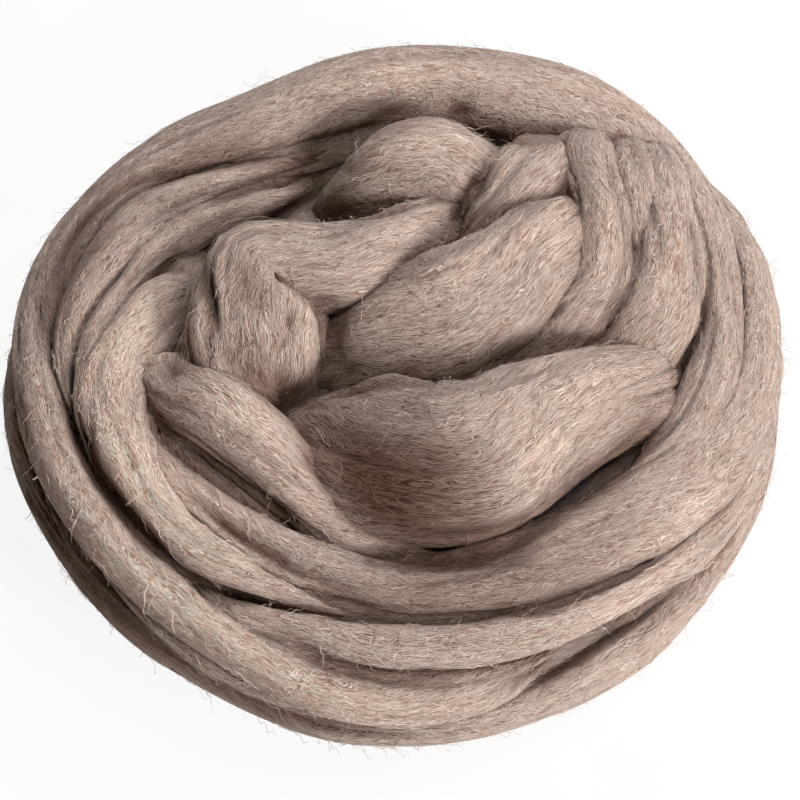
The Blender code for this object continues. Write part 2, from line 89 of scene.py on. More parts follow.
# laid turns: bearing, lap outwards from the ring's top, width, thickness, lift off the ring
laidTurns = {
    "farArch": (
        (-58, -20, 8, 12, -6), (-46, -20, 10, 16, -2), (-35, -9, 15, 18, -1),
        (-24, 3, 20, 20, 0), (-12, 12, 21, 20, 0), (0, 17, 19, 20, 0),
        (14, 22, 20, 20, 0), (26, 26, 28, 22, 0), (38, 28, 37, 24, 1),
        (50, 19, 47, 26, 2), (62, 11, 53, 28, 2), (80, 16, 50, 28, 1),
        (98, 15, 50, 28, 1), (114, 17, 46, 28, 0), (127, 22, 43, 26, 0),
        (138, 30, 38, 25, 0), (148, 39, 34, 24, 0), (158, 46, 30, 22, 0),
        (170, 49, 26, 20, -1), (182, 46, 20, 18, -3), (194, 42, 14, 16, -7),
        (204, 40, 10, 12, -10),
    ),
    "leftSweep": (
        (98, -46, 12, 12, -8), (112, -39, 15, 16, -4), (126, -30, 16, 18, -2),
        (137, -22, 19, 19, -1), (147, -13, 24, 20, -1), (158, -4, 25, 20, -1),
        (170, 8, 20, 20, -1), (179, 15, 16, 19, -1), (188, 18, 11, 18, -2),
        (198, 17, 8, 16, -4), (208, 16, 7, 14, -7), (220, 18, 8, 14, -10),
        (232, 22, 9, 14, -8), (242, 25, 11, 15, -4), (250, 25, 13, 16, -2),
        (258, 24, 16, 17, -1), (268, 26, 18, 18, -1), (282, 30, 18, 18, -1),
        (294, 33, 16, 17, -1), (304, 38, 14, 17, -1), (314, 46, 14, 16, -1),
        (324, 54, 15, 16, -1), (336, 62, 17, 18, -1), (350, 70, 19, 18, -1),
        (366, 74, 20, 18, -1), (384, 75, 20, 18, -2), (400, 76, 18, 16, -5),
        (412, 76, 12, 12, -9),
    ),
    "leftHighlight": (
        (112, -54, 11, 12, -7), (122, -51, 15, 15, -2), (134, -47, 17, 16, 0),
        (146, -40, 17, 16, 0), (156, -33, 16, 16, 0), (164, -26, 14, 16, 0),
        (172, -17, 11, 15, -1), (180, -9, 12, 15, -1), (189, 2, 10, 15, -1),
        (198, 11, 8, 14, -2), (208, 16, 7, 12, -4), (218, 19, 6, 10, -9),
    ),
    "innerLeft": (
        (150, -64, 14, 14, -7), (158, -56, 18, 18, -2), (167, -51, 25, 20, 1),
        (176, -42, 32, 21, 1), (185, -31, 32, 21, 1), (193, -16, 30, 21, 1),
        (201, -10, 30, 21, 1), (210, -5, 27, 20, 1), (220, 1, 22, 20, 0),
        (230, 7, 17, 18, 0), (240, 8, 15, 17, 0), (249, 8, 11, 16, -1),
        (257, 7, 9, 14, -3), (266, 7, 8, 12, -6), (276, 8, 7, 10, -10),
    ),
    "frontBand": (
        (208, -30, 17, 16, -3), (218, -31, 23, 18, 0), (229, -32, 27, 20, 0),
        (240, -28, 28, 20, -1), (249, -25, 29, 20, -1), (258, -23, 29, 21, -1),
        (270, -19, 31, 23, -1), (284, -16, 32, 23, 0), (297, -13, 35, 24, 0),
        (309, -5, 37, 23, 0), (319, 6, 38, 22, 0), (328, 20, 36, 22, 0),
        (338, 35, 31, 22, 0), (348, 47, 27, 22, 1), (358, 54, 26, 22, 2),
        (367, 57, 25, 22, 2), (376, 61, 23, 21, 1), (386, 66, 20, 18, -4),
        (398, 70, 16, 14, -9),
    ),
    "brightRim": (
        (30, 84, 18, 16, -7), (50, 82, 20, 18, -3), (75, 80, 21, 18, -1),
        (105, 80, 21, 18, -1), (135, 77, 21, 18, -1), (156, 70, 20, 18, 0),
        (170, 59, 20, 18, 0), (182, 49, 20, 18, 0), (194, 41, 22, 18, 0),
        (206, 38, 22, 18, 0), (218, 37, 23, 18, 0), (230, 39, 23, 18, 0),
        (241, 44, 20, 18, 0), (252, 52, 20, 18, 0), (263, 59, 22, 18, 0),
        (273, 63, 21, 18, 0), (281, 61, 18, 16, 0), (289, 58, 12, 14, -2),
        (297, 53, 8, 12, -6), (306, 52, 7, 10, -10),
    ),
    "underRim": (
        (214, 60, 8, 12, -7), (224, 62, 10, 13, -4), (234, 66, 12, 14, -2),
        (244, 70, 12, 14, -1), (254, 74, 11, 13, -2), (264, 78, 9, 12, -5),
        (274, 80, 7, 10, -9),
    ),
    "outerTurn": (
        (-12, 104, 18, 16, -6), (2, 102, 24, 20, 1), (14, 100, 27, 21, 4),
        (26, 100, 28, 21, 4), (38, 102, 28, 20, 1), (54, 105, 28, 20, -1),
        (78, 105, 28, 20, 0), (110, 106, 28, 20, 0), (145, 104, 28, 20, 0),
        (170, 98, 27, 20, 0), (188, 90, 27, 20, 0), (203, 86, 25, 20, -1),
        (218, 86, 24, 20, -1), (232, 91, 25, 20, -1), (246, 98, 24, 20, -1),
        (260, 101, 24, 20, 0), (273, 99, 24, 20, 0), (285, 92, 28, 20, 0),
        (297, 84, 32, 20, 0), (308, 81, 31, 20, 0), (320, 84, 28, 20, -2),
        (334, 88, 26, 20, -2), (350, 92, 25, 20, -1), (366, 96, 20, 18, -4),
        (380, 98, 14, 14, -8),
    ),
    "lowTurn": (
        (-12, 132, 18, 16, -5), (10, 130, 26, 20, 0), (60, 132, 28, 22, 0),
        (120, 133, 28, 22, 0), (180, 130, 28, 22, 0), (225, 130, 28, 22, -1),
        (270, 132, 28, 22, 0), (310, 128, 28, 22, 0), (345, 130, 24, 20, -1),
        (368, 132, 16, 16, -6),
    ),
    "floorTurn": (
        (-12, 158, 20, 16, -4), (15, 158, 28, 22, 1), (75, 159, 28, 22, 1),
        (140, 158, 28, 22, 1), (205, 157, 28, 22, 1), (270, 159, 28, 22, 1),
        (330, 158, 26, 22, 1), (366, 158, 18, 16, -4),
    ),
}

# folds: x, y and z of the strand's middle, width, thickness, lean of its flat side
innerFolds = {
    "crownLoop": (
        (-23, 49, 36, 11, 13, 0), (-15, 50, 45, 17, 18, -4),
        (-6, 51, 54, 25, 23, -8), (3, 53, 59, 31, 26, -10),
        (13, 54, 61, 33, 26, -10), (22, 52, 60, 33, 26, -6),
        (28, 48, 57, 30, 24, 0), (31, 44, 48, 22, 18, 0),
    ),
    "crownReturn": (
        (33, 54, 40, 14, 14, 0), (24, 42, 51, 18, 18, 0), (13, 32, 57, 22, 21, -6),
        (2, 24, 60, 27, 23, -10), (-9, 17, 62, 31, 23, -12),
        (-20, 14, 63, 31, 23, -10), (-32, 15, 65, 27, 22, -8),
        (-40, 13, 66, 29, 22, -6), (-43, 6, 65, 31, 23, -4),
        (-42, -1, 63, 35, 24, -2), (-41, -8, 60, 39, 26, 0),
        (-40, -14, 56, 41, 26, 0), (-39, -20, 48, 34, 21, 0),
        (-37, -24, 39, 20, 14, 0),
    ),
    "knobFront": (
        (-30, 8, 48, 14, 14, 0), (-29, 1, 55, 19, 20, 0), (-29, -6, 58, 21, 23, 0),
        (-30, -13, 57, 21, 22, 0), (-31, -18, 52, 19, 19, 0),
        (-36, -23, 43, 13, 13, 0),
    ),
    "knobSide": (
        (-50, 12, 36, 10, 12, 0), (-52, 4, 44, 13, 16, 0), (-54, -4, 49, 17, 19, 0),
        (-55, -10, 50, 19, 20, 0), (-52, -14, 48, 19, 19, 0),
        (-44, -14, 41, 16, 16, 0), (-36, -16, 32, 11, 12, 0),
    ),
    "diagonal": (
        (-65, -12, 40, 19, 16, 0), (-65, -20, 49, 23, 22, -6),
        (-58, -28, 54, 25, 24, -14), (-49, -34, 57, 26, 25, -18),
        (-41, -41, 56, 26, 25, -18), (-33, -48, 55, 25, 24, -18),
        (-25, -55, 53, 23, 22, -14), (-17, -62, 51, 21, 20, -10),
        (-7, -68, 49, 18, 18, -4), (5, -72, 46, 15, 15, 0),
        (17, -73, 41, 11, 12, 0),
    ),
    "bigLobe": (
        (-28, -32, 38, 22, 22, 0), (-18, -39, 49, 37, 27, -10),
        (-5, -46, 56, 48, 30, -14), (11, -52, 61, 49, 32, -14),
        (25, -50, 63, 48, 32, -14), (38, -42, 64, 39, 30, -12),
        (49, -35, 63, 33, 29, -8), (60, -29, 60, 28, 27, -4),
        (73, -23, 55, 24, 24, 0), (83, -17, 45, 16, 17, 0),
    ),
    "lobeHem": (
        (-2, -60, 38, 12, 14, 0), (10, -63, 49, 19, 19, -10),
        (22, -62, 55, 24, 22, -14), (34, -57, 58, 24, 23, -14),
        (45, -49, 58, 22, 22, -10), (57, -41, 59, 21, 22, -6),
        (68, -34, 57, 20, 20, 0), (79, -27, 52, 18, 17, 0),
    ),
    "middleLobe": (
        (-24, -12, 34, 20, 20, 0), (-15, -9, 46, 28, 24, -4),
        (2, -6, 56, 39, 28, -8), (18, -3, 61, 43, 29, -10),
        (31, 4, 64, 38, 28, -10), (40, 12, 65, 32, 28, -8),
        (48, 20, 64, 31, 27, -4), (56, 29, 59, 27, 24, 0), (61, 40, 48, 19, 18, 0),
    ),
    "upperFold": (
        (50, 78, 38, 26, 13, 0), (50, 71, 44, 29, 15, 0), (49, 64, 51, 30, 19, 0),
        (48, 56, 58, 30, 22, 0), (45, 49, 62, 30, 23, 4), (39, 42, 63, 28, 23, 4),
        (32, 34, 60, 24, 22, 0), (25, 28, 54, 19, 18, 0), (14, 24, 45, 15, 15, 0),
    ),
    "rightCrescent": (
        (64, 80, 40, 20, 13, 0), (64, 69, 50, 22, 17, 0), (62, 57, 59, 24, 21, 0),
        (64, 44, 63, 22, 21, 0), (65, 31, 65, 19, 22, 0), (64, 18, 65, 19, 22, 0),
        (63, 8, 62, 21, 21, 0), (57, 1, 58, 22, 21, 0), (50, -4, 54, 22, 20, 0),
        (42, -8, 51, 22, 19, 0), (32, -11, 48, 22, 18, 0), (18, -13, 47, 20, 17, 0),
        (3, -15, 45, 18, 16, 0), (-10, -17, 41, 14, 14, 0),
    ),
    "footLeft": (
        (-58, -50, 13, 26, 20, 0), (-56, -30, 10, 40, 24, 0),
        (-56, -4, 10, 48, 25, 0), (-46, 24, 10, 50, 25, 0),
        (-22, 46, 10, 48, 25, 0), (8, 56, 10, 40, 24, 0), (32, 58, 13, 26, 20, 0),
    ),
    "footRight": (
        (52, 50, 13, 26, 20, 0), (58, 30, 10, 40, 24, 0), (58, 2, 10, 48, 25, 0),
        (48, -26, 10, 50, 25, 0), (24, -47, 10, 48, 25, 0),
        (-8, -56, 10, 40, 24, 0), (-34, -58, 13, 26, 20, 0),
    ),
    "footMiddle": (
        (-40, -34, 12, 40, 22, 0), (-22, -18, 10, 50, 24, 0), (0, 0, 10, 54, 24, 0),
        (22, 20, 10, 50, 24, 0), (40, 38, 12, 38, 22, 0),
    ),
    "outerCrescent": (
        (80, 75, 40, 20, 14, 0), (82, 61, 52, 21, 18, 0), (83, 46, 60, 21, 20, 0),
        (84, 32, 62, 21, 21, 0), (84, 18, 62, 23, 22, 0), (82, 7, 61, 26, 22, 0),
        (78, -3, 59, 28, 22, 0), (72, -10, 55, 27, 20, 0), (64, -15, 49, 22, 17, 0),
    ),
    "betweenCrescents": (
        (72, 77, 41, 20, 13, 0), (75, 63, 53, 20, 17, 0), (76, 46, 61, 19, 20, 0),
        (76, 34, 62, 17, 20, 0), (76, 24, 61, 16, 19, 0), (76, 15, 59, 13, 18, 0),
        (72, 6, 57, 13, 17, 0), (67, -2, 53, 12, 15, 0),
    ),
}


def curveAt(rows, places):  # the rows' numbers at these places, 0 to len - 1, on a smooth curve
    table = np.array(rows, float)
    last = len(table) - 1
    start = np.clip(places.astype(int), 0, last - 1)
    part = (places - start)[:, None]
    before, first, second, after = (table[np.clip(start + step, 0, last)] for step in (-1, 0, 1, 2))
    pull = (second - before) / 2
    push = (after - first) / 2
    rise = second - first
    bend = 3 * rise - 2 * pull - push + part * (pull + push - 2 * rise)
    return first + part * (pull + part * bend)


def ringPlanAt(bearing):  # from the nest's middle to the ring's centre line
    plan = nest["ringPlan"]
    looped = [(reach,) for reach in plan[-1:] + plan + plan[:2]]
    places = (bearing.ravel() % 360) / (360 / len(plan)) + 1
    return curveAt(looped, places)[:, 0].reshape(bearing.shape)


def ringPoint(bearing, lap, reach):  # lap in radians outwards from the ring's top
    bearing, lap, reach = np.broadcast_arrays(bearing, lap, reach)
    out = ringPlanAt(bearing) + reach * np.sin(lap)
    angle = np.radians(bearing)
    return np.stack([out * np.cos(angle), out * np.sin(angle), ringRadius + reach * np.cos(lap)], -1)


def unit(vectors):
    return vectors / np.maximum(np.linalg.norm(vectors, axis=-1, keepdims=True), 1e-12)


def evenRows(rows, middles):  # the rows filled in at even steps along the strand
    fine = np.linspace(0, len(rows) - 1, nest["fineSteps"] * len(rows))
    steps = np.linalg.norm(np.diff(middles(curveAt(rows, fine)), axis=0), axis=1)
    length = np.concatenate([[0], np.cumsum(steps)])
    along = np.linspace(0, length[-1], max(4, round(length[-1] / nest["alongStep"])))
    return curveAt(rows, np.interp(along, length, fine)), along


def sectionAngles(wide, thick):  # fine steps where the section shows, coarse ones where it is buried
    half = math.pi * math.hypot(wide, thick) / 2 / math.sqrt(2)
    shows = nest["outerTurn"] * math.pi
    fine = max(nest["leastOuter"], round(half * nest["outerTurn"] / nest["outerStep"]))
    coarse = max(nest["leastInner"], round(half * (2 - nest["outerTurn"]) / nest["innerStep"]))
    start = math.pi / 2 - shows / 2
    outer = start + np.arange(fine) * shows / fine
    inner = start + shows + np.arange(coarse) * (2 * math.pi - shows) / coarse
    seam = round(coarse / 2)  # the section starts and ends where it is buried
    angles = np.concatenate([inner[seam:] - 2 * math.pi, outer, inner[:seam]])
    return angles, (angles >= start) & (angles <= start + shows)


def rounded(wave, squareness):
    return np.sign(wave) * np.abs(wave) ** (2 / squareness)


def turnMiddles(table):
    reach = ringRadius + table[:, 4] - table[:, 3] / 2
    return ringPoint(table[:, 0], np.radians(table[:, 1]), reach)


def foldMiddles(table):
    return table[:, :3]


def turnPoints(table, across, up):
    reach = ringRadius + table[:, 4] - table[:, 3] / 2
    lap = np.radians(table[:, 1])[:, None] + across / ringRadius
    return ringPoint(table[:, :1], lap, reach[:, None] + up)


def foldPoints(table, across, up):
    middle = table[:, :3]
    heading = unit(np.gradient(middle, axis=0))
    side = unit(np.cross(heading, (0, 0, 1)))
    crown = np.cross(side, heading)
    lean = np.radians(table[:, 5:6])
    leanSide = side * np.cos(lean) + crown * np.sin(lean)
    leanCrown = crown * np.cos(lean) - side * np.sin(lean)
    return middle[:, None] + leanSide[:, None] * across[..., None] + leanCrown[:, None] * up[..., None]


def normalsOf(points):  # of a tube's grid of points, sections by columns
    along = np.gradient(points, axis=0)
    around = np.roll(points, -1, axis=1) - np.roll(points, 1, axis=1)
    return unit(np.cross(along, around))


# how the combed wool swells and parts along a strand, in mm
swell = {
    "twist": 0.12,  # degrees round the strand for each mm along it
    "lump": {"high": 1.1, "long": 34, "wide": 14},
    "lock": {"high": 0.7, "long": 45, "wide": 4.6},
    "ridge": {"high": 0.18, "long": 18, "wide": 1.9},
    "parting": {"deep": 1.1, "long": 90, "wide": 9, "narrow": 0.07, "seed": 21.3},
    "seedStep": 3.7,
    "fullWidth": 22,  # a narrower strand swells less
    "least": 0.25,  # the share that the narrowest keeps
}


# the main creases, given one by one: half width, depth, how much painted shade each lays on the wool, places
# x, y, z
creases = {
    # the next two are broad patches of painted shade, pressed in very little
    "lobePaintedShade": (13, 0.6, 0.66, (
        (-28, -38, 58), (-16, -48, 66), (-4, -56, 71), (12, -60, 74), (26, -62, 73),
    )),
    "frontPaintedShade": (9, 0.4, 0.58, (
        (-14, -88, 57), (4, -89, 58), (24, -89, 58), (44, -84, 58), (60, -77, 58), (74, -66, 59),
    )),
    "lobeHollow": (12, 4, 0.95, (
        (-16, -50, 64), (-9, -58, 66), (2, -63, 67), (13, -66, 67), (22, -66, 68),
    )),
    "lobeUnder": (8, 1, 0.92, (
        (-16, -58, 60), (-9, -66, 62), (0, -71, 62), (11, -73, 60), (22, -73, 61), (32, -72, 61),
    )),
    "archNotch": (6, 1, 0.95, ((18, 85, 54), (26, 82, 51), (33, 75, 49), (40, 66, 56), (48, 62, 62))),
    "lobeTop": (4.2, 2.2, 0.8, ((-30, -27, 56), (-26, -26, 57), (-11, -29, 65), (3, -32, 72))),
    "lobeNotch": (3.1, 3.3, 0.8, ((16, -36, 75), (24, -31, 70), (32, -22, 62), (38, -14, 60))),
    "lobeSide": (2, 2.1, 0.47, ((40, -40, 80), (46, -47, 77), (60, -51, 69))),
    "lobeSideFine": (1.4, 1.2, 0.33, ((48, -39, 79), (58, -42, 76), (68, -46, 68))),
    "underLobe": (5, 3.3, 0.88, (
        (-8, -74, 50), (4, -77, 54), (17, -79, 58), (31, -77, 59), (41, -70, 60),
    )),
    "bandHollow": (7, 1.2, 0.9, (
        (42, -64, 60), (52, -56, 60), (60, -51, 58), (68, -44, 60), (77, -36, 62),
    )),
    "bandSplit": (2.5, 3.6, 0.96, (
        (-60, -52, 57), (-56, -60, 57), (-46, -70, 59), (-35, -78, 60), (-24, -85, 60),
        (-8, -91, 58),
    )),
    "bandEdge": (1.6, 2.7, 0.69, ((34, -95, 55), (46, -92, 55), (60, -86, 54), (74, -78, 53))),
    "bandLine": (1.4, 1.5, 0.47, ((28, -93, 57), (38, -95, 57), (48, -94, 57))),
    "rimValleyHigh": (2, 3.3, 0.65, ((-76, 18, 56), (-82, 5, 58), (-89, -11, 58), (-92, -22, 57))),
    "rimValley": (4.4, 4, 0.95, (
        (-93, -22, 55), (-90, -34, 54), (-84, -48, 56), (-77, -60, 56), (-68, -72, 56),
        (-58, -80, 53), (-45, -87, 54), (-36, -89, 55),
    )),
    "rimValleyLow": (3.4, 3.3, 0.9, (
        (-47, -86, 54), (-30, -91, 55), (-13, -93, 55), (3, -94, 54), (25, -95, 54),
    )),
    "rimLine": (3.4, 2.4, 0.85, (
        (-36, -100, 54), (-26, -103, 55), (-16, -108, 51), (-2, -111, 49), (14, -112, 49),
        (30, -110, 48),
    )),
    "rimHole": (3.9, 4.8, 0.97, (
        (28, -112, 48), (38, -110, 46), (50, -103, 45), (58, -97, 46), (70, -91, 46), (80, -84, 46),
    )),
    "outsideRim": (8, 4.5, 0.8, (
        (-110, -34, 39), (-105, -46, 39), (-98, -60, 38), (-89, -72, 37), (-80, -84, 36),
        (-68, -96, 34), (-54, -105, 29), (-39, -113, 28), (-24, -118, 29),
    )),
    "crownPit": (7, 2.5, 0.92, ((-34, 62, 50), (-26, 66, 51), (-17, 68, 51), (-10, 62, 58))),
    # a broad patch of painted shade, pressed in very little
    "archPaintedShade": (9, 0.3, 0.4, ((-66, 62, 60), (-55, 69, 61), (-42, 76, 61), (-20, 82, 61))),
    "highlightFoot": (3.4, 2.4, 0.85, (
        (-82, 13, 58), (-76, 17, 56), (-70, 20, 53), (-60, 22, 56), (-56, 10, 70),
    )),
    "innerSide": (3, 1.6, 0.7, (
        (-60, -28, 58), (-56, -38, 58), (-48, -46, 60), (-38, -54, 60), (-28, -62, 58),
    )),
    # a broad patch of painted shade low on the left side, pressed in very little
    "lowLeftPaintedShade": (11, 0.5, 0.62, (
        (-112, -34, 36), (-108, -52, 36), (-98, -74, 36), (-82, -95, 36), (-63, -110, 36),
        (-44, -119, 36), (-26, -124, 34),
    )),
    "lowRimLine": (3.2, 2.2, 0.75, (
        (-50, -108, 32), (-41, -112, 31), (-27, -116, 32), (-13, -120, 34), (3, -121, 34),
    )),
    "underDiagonal": (2.9, 3.3, 0.96, (
        (-70, -34, 56), (-65, -39, 57), (-54, -49, 57), (-39, -60, 56), (-25, -66, 53),
        (-8, -72, 52),
    )),
    "knobFoot": (7, 0.8, 0.6, ((-46, -18, 66), (-40, -21, 67), (-37, -26, 60), (-33, -28, 54))),
    "knobSeam": (3.4, 3, 0.75, ((-57, 12, 68), (-55, 2, 72), (-53, -10, 72), (-54, -18, 68))),
    "knobBrow": (4.5, 2.2, 0.55, ((-45, 8, 76), (-43, 2, 75), (-39, -4, 74), (-34, -2, 73))),
    "knobPit": (3.6, 3.8, 0.85, (
        (-22, 4, 68), (-20, 0, 66), (-18, -5, 64), (-18, -12, 61), (-20, -18, 58),
    )),
    "knobShadow": (4, 2.4, 0.9, ((-66, -18, 61), (-63, -22, 64), (-60, -27, 60))),
    "crownBrow": (3.8, 1.8, 0.8, (
        (-40, 46, 45), (-34, 50, 42), (-19, 43, 51), (-10, 34, 62), (-3, 32, 67), (3, 27, 71),
    )),
    "crownLine": (2, 2.4, 0.64, (
        (-24, 29, 72), (-15, 29, 71), (0, 31, 69), (8, 33, 67), (15, 37, 66),
    )),
    "crownEdge": (3.3, 3.9, 0.96, (
        (30, 56, 68), (28, 49, 69), (27, 39, 68), (23, 35, 64), (12, 24, 62), (4, 17, 62),
    )),
    "underArch": (3.6, 2.4, 0.95, (
        (-28, 67, 51), (-16, 70, 51), (-8, 77, 52), (0, 81, 56), (10, 84, 55), (20, 83, 55),
        (27, 65, 69), (35, 61, 66), (44, 58, 69), (58, 64, 65),
    )),
    "archHollow": (6.1, 1.6, 0.64, (
        (-78, 50, 58), (-73, 54, 57), (-60, 58, 57), (-46, 61, 57), (-30, 62, 54), (-16, 62, 56),
    )),
    "archSplit": (2.9, 3.3, 0.96, (
        (-105, 12, 54), (-103, 26, 55), (-97, 37, 57), (-88, 47, 59), (-78, 52, 58),
    )),
    # mostly painted shade, pressed in a little
    "leftHollow": (9, 0.8, 0.7, (
        (-86, 36, 60), (-90, 28, 60), (-98, 18, 58), (-103, 2, 58), (-105, -10, 55),
    )),
    "sweepEnd": (2.5, 2.7, 0.8, ((-56, 44, 55), (-51, 48, 55), (-39, 55, 52), (-29, 60, 50))),
    "middleFoot": (3.5, 3, 0.8, ((-14, -18, 58), (-11, -26, 62), (3, -30, 68), (14, -31, 72))),
    "middleSide": (2.9, 3.6, 0.88, (
        (57, 34, 67), (58, 28, 67), (57, 22, 67), (50, 10, 66), (36, -3, 64), (28, -10, 62),
    )),
    "crescentSplit": (2.3, 2.4, 0.8, (
        (66, 52, 68), (67, 40, 74), (69, 28, 74), (70, 16, 72), (67, 2, 68), (62, -10, 62),
    )),
    "crescentFine": (1.4, 1.2, 0.4, ((78, 34, 71), (80, 22, 72), (80, 10, 72))),
    "crescentEdge": (3.4, 3, 0.85, (
        (88, 36, 66), (91, 23, 69), (91, 7, 66), (91, -3, 60), (86, -14, 58),
    )),
    "archFine": (1.5, 1.5, 0.47, ((103, 18, 60), (105, 9, 60), (106, -5, 58), (103, -19, 59))),
}


# the crests, raised a little and made paler as a painted highlight: half width, height, paler by, places x,
# y, z
paintedHighlightCrests = {
    "rimHigh": (5, 0.6, 0.25, ((-111, 4, 54), (-111, -3, 54), (-105, -28, 56), (-94, -57, 56))),
    "rimLow": (7, 1.2, 1.25, (
        (-97, -46, 57), (-93, -56, 57), (-83, -68, 57), (-71, -81, 56), (-56, -93, 56),
        (-42, -102, 56), (-24, -111, 52), (-2, -116, 47), (17, -116, 46), (34, -112, 44),
    )),
    "innerCrest": (7, 0.6, 1, (
        (-79, -4, 60), (-85, -22, 61), (-85, -31, 61), (-80, -44, 61), (-69, -63, 61),
        (-55, -77, 60), (-38, -86, 60), (-18, -92, 59),
    )),
    "highlightTop": (6, 0.6, 0.35, ((-62, 10, 54), (-68, 4, 58), (-74, -6, 60), (-76, -20, 60))),
    "diagonalTop": (7, 1, 1, (
        (-62, -25, 64), (-54, -30, 68), (-45, -36, 70), (-35, -46, 69), (-27, -56, 66),
        (-19, -64, 62),
    )),
    "knobRight": (6, 0.8, 0.55, ((-27, 0, 71), (-23, -8, 71), (-21, -15, 69), (-25, -22, 62))),
    "knobLeft": (6, 0.8, 0.45, ((-63, -3, 62), (-60, -9, 66), (-53, -12, 68), (-46, -13, 70))),
    "middleTop": (8, 0.6, 0.6, (
        (-12, -10, 66), (-3, -5, 70), (18, 2, 76), (38, 12, 79), (50, 18, 78), (55, 30, 73),
    )),
    "crownTop": (8, 0.5, 0.7, ((-10, 52, 67), (3, 54, 71), (15, 57, 72), (24, 54, 68))),
    "returnTop": (6, 0.5, 0.5, ((-8, 20, 74), (4, 24, 72), (15, 32, 67), (24, 40, 62))),
    "archTop": (9, 0.4, 0.6, (
        (-40, 82, 58), (-20, 88, 60), (0, 92, 61), (23, 93, 61), (49, 88, 61), (75, 80, 60),
        (92, 62, 60),
    )),
    "sweepTop": (6, 0.6, 1, (
        (-82, 22, 58), (-71, 28, 58), (-60, 36, 55), (-48, 45, 52), (-36, 52, 48),
    )),
    "innerEnd": (9, 0.8, 1, ((-68, 14, 57), (-68, 4, 60), (-70, -8, 61), (-72, -20, 61))),
    "diagonalTail": (7, 0.6, 1, ((-24, -61, 62), (-16, -67, 58), (-6, -72, 55), (4, -76, 54))),
    "bandStart": (9, 0.6, 1, ((-66, -46, 58), (-58, -58, 58), (-48, -68, 58), (-38, -76, 59))),
    "crescentTop": (6, 0.5, 0.5, (
        (64, 44, 72), (66, 32, 75), (65, 18, 75), (61, 7, 73), (52, -2, 69),
    )),
    "outerTop": (6, 0.5, 0.5, ((83, 46, 70), (84, 32, 73), (84, 18, 73), (81, 7, 72), (77, -3, 70))),
    "lobeFront": (8, 0.8, 0.6, ((27, -66, 70), (34, -62, 73), (45, -55, 75), (54, -45, 76))),
    "lobeEnd": (8, 0.4, 0.3, ((30, -46, 79), (46, -40, 80), (62, -32, 77), (76, -24, 71))),
    "bandRight": (7, 0.5, 0.85, ((56, -92, 52), (68, -85, 53), (80, -74, 55), (90, -60, 58))),
}


# the curve through a line's places, and how it fades
lineShape = {
    "knots": 12,  # for each place
    "reach": 2.6,  # half widths from the curve within which it counts
    "end": 0.02,  # share of its length at which the fading stops
    "fade": 0.5,
}


def creasesAt(points):  # how deep the creases press in at these places in mm, and the painted light they leave: painted shade from the creases, painted highlight from the crests
    flat = points.reshape(-1, 3)
    depth = np.zeros(len(flat))
    light = np.ones(len(flat))  # painted light: under 1 as painted shade in a crease, over 1 as painted highlight on a crest
    lines = [(1, *line) for line in creases.values()] + [(-1, *line) for line in paintedHighlightCrests.values()]
    for sign, wide, press, paintedLightChange, places in lines:
        knots = np.linspace(0, len(places) - 1, lineShape["knots"] * len(places))
        curve = curveAt(places, knots)
        share = np.clip(knots / knots[-1], lineShape["end"], 1 - lineShape["end"])
        fade = np.sin(np.pi * share) ** lineShape["fade"]
        spread = lineShape["reach"] * wide
        near = np.flatnonzero(
            np.all((flat > curve.min(0) - spread) & (flat < curve.max(0) + spread), axis=1)
        )
        if not len(near):
            continue
        away = np.linalg.norm(flat[near, None] - curve[None], axis=-1)
        weight = (np.exp(-((away / wide) ** 2)) * fade).max(1)
        depth[near] += sign * press * weight
        light[near] *= 1 - sign * paintedLightChange * weight
    return depth.reshape(points.shape[:-1]), light.reshape(points.shape[:-1])


def noiseAt(along, across, up, size, seed):
    places = np.stack([along / size["long"] + seed, across / size["wide"], up / size["wide"] + seed], -1)
    flat = [noise.noise(place) for place in places.reshape(-1, 3).tolist()]
    return np.array(flat).reshape(places.shape[:-1])


def swelling(along, across, up, wide, seed):
    turn = np.radians(swell["twist"] * along)[:, None]
    turnedAcross = across * np.cos(turn) + up * np.sin(turn)
    turnedUp = up * np.cos(turn) - across * np.sin(turn)
    alongGrid = np.broadcast_to(along[:, None], across.shape)
    total = np.zeros(across.shape)
    for step, key in enumerate(("lump", "lock", "ridge")):
        size = swell[key]
        sizeSeed = seed + swell["seedStep"] * step
        total += size["high"] * noiseAt(alongGrid, turnedAcross, turnedUp, size, sizeSeed)
    parting = swell["parting"]
    crossing = noiseAt(alongGrid, turnedAcross, turnedUp, parting, seed + parting["seed"])
    total -= parting["deep"] * np.exp(-((crossing / parting["narrow"]) ** 2))
    return total * np.clip(wide / swell["fullWidth"], swell["least"], 1)[:, None]


def gridOf(points, along, seed, shows=None, light=1):  # what a piece is made from, out of points in mm
    steps = np.linalg.norm(np.roll(points, -1, axis=1) - points, axis=-1)
    return {
        "points": points * mm,
        "normals": normalsOf(points),
        "along": along,
        "around": np.concatenate([np.zeros((len(points), 1)), np.cumsum(steps, axis=1)], axis=1),
        "seed": seed,
        "shows": shows,
        "light": light,
    }


def strandGrid(rows, middles, pointsOf, seed):
    table, along = evenRows(rows, middles)
    if pointsOf is turnPoints:
        wide, thick = table[:, 2] * nest["turnSpread"], table[:, 3]
        squareness = nest["turnSquareness"]
    else:
        wide, thick = table[:, 3], table[:, 4]
        squareness = nest["foldSquareness"]
    angles, shows = sectionAngles(wide.max(), thick.max())
    across = rounded(np.cos(angles), squareness)[None] * wide[:, None] / 2
    up = rounded(np.sin(angles), squareness)[None] * thick[:, None] / 2
    points = pointsOf(table, across, up)
    # light: the painted shade and painted highlight that the creases and crests lay on this skin
    depth, light = creasesAt(points)
    points += normalsOf(points) * (swelling(along, across, up, wide, seed) - depth)[..., None]
    points[..., 2] = np.maximum(points[..., 2], nest["offFloor"])
    return gridOf(points, along, seed, shows, light)


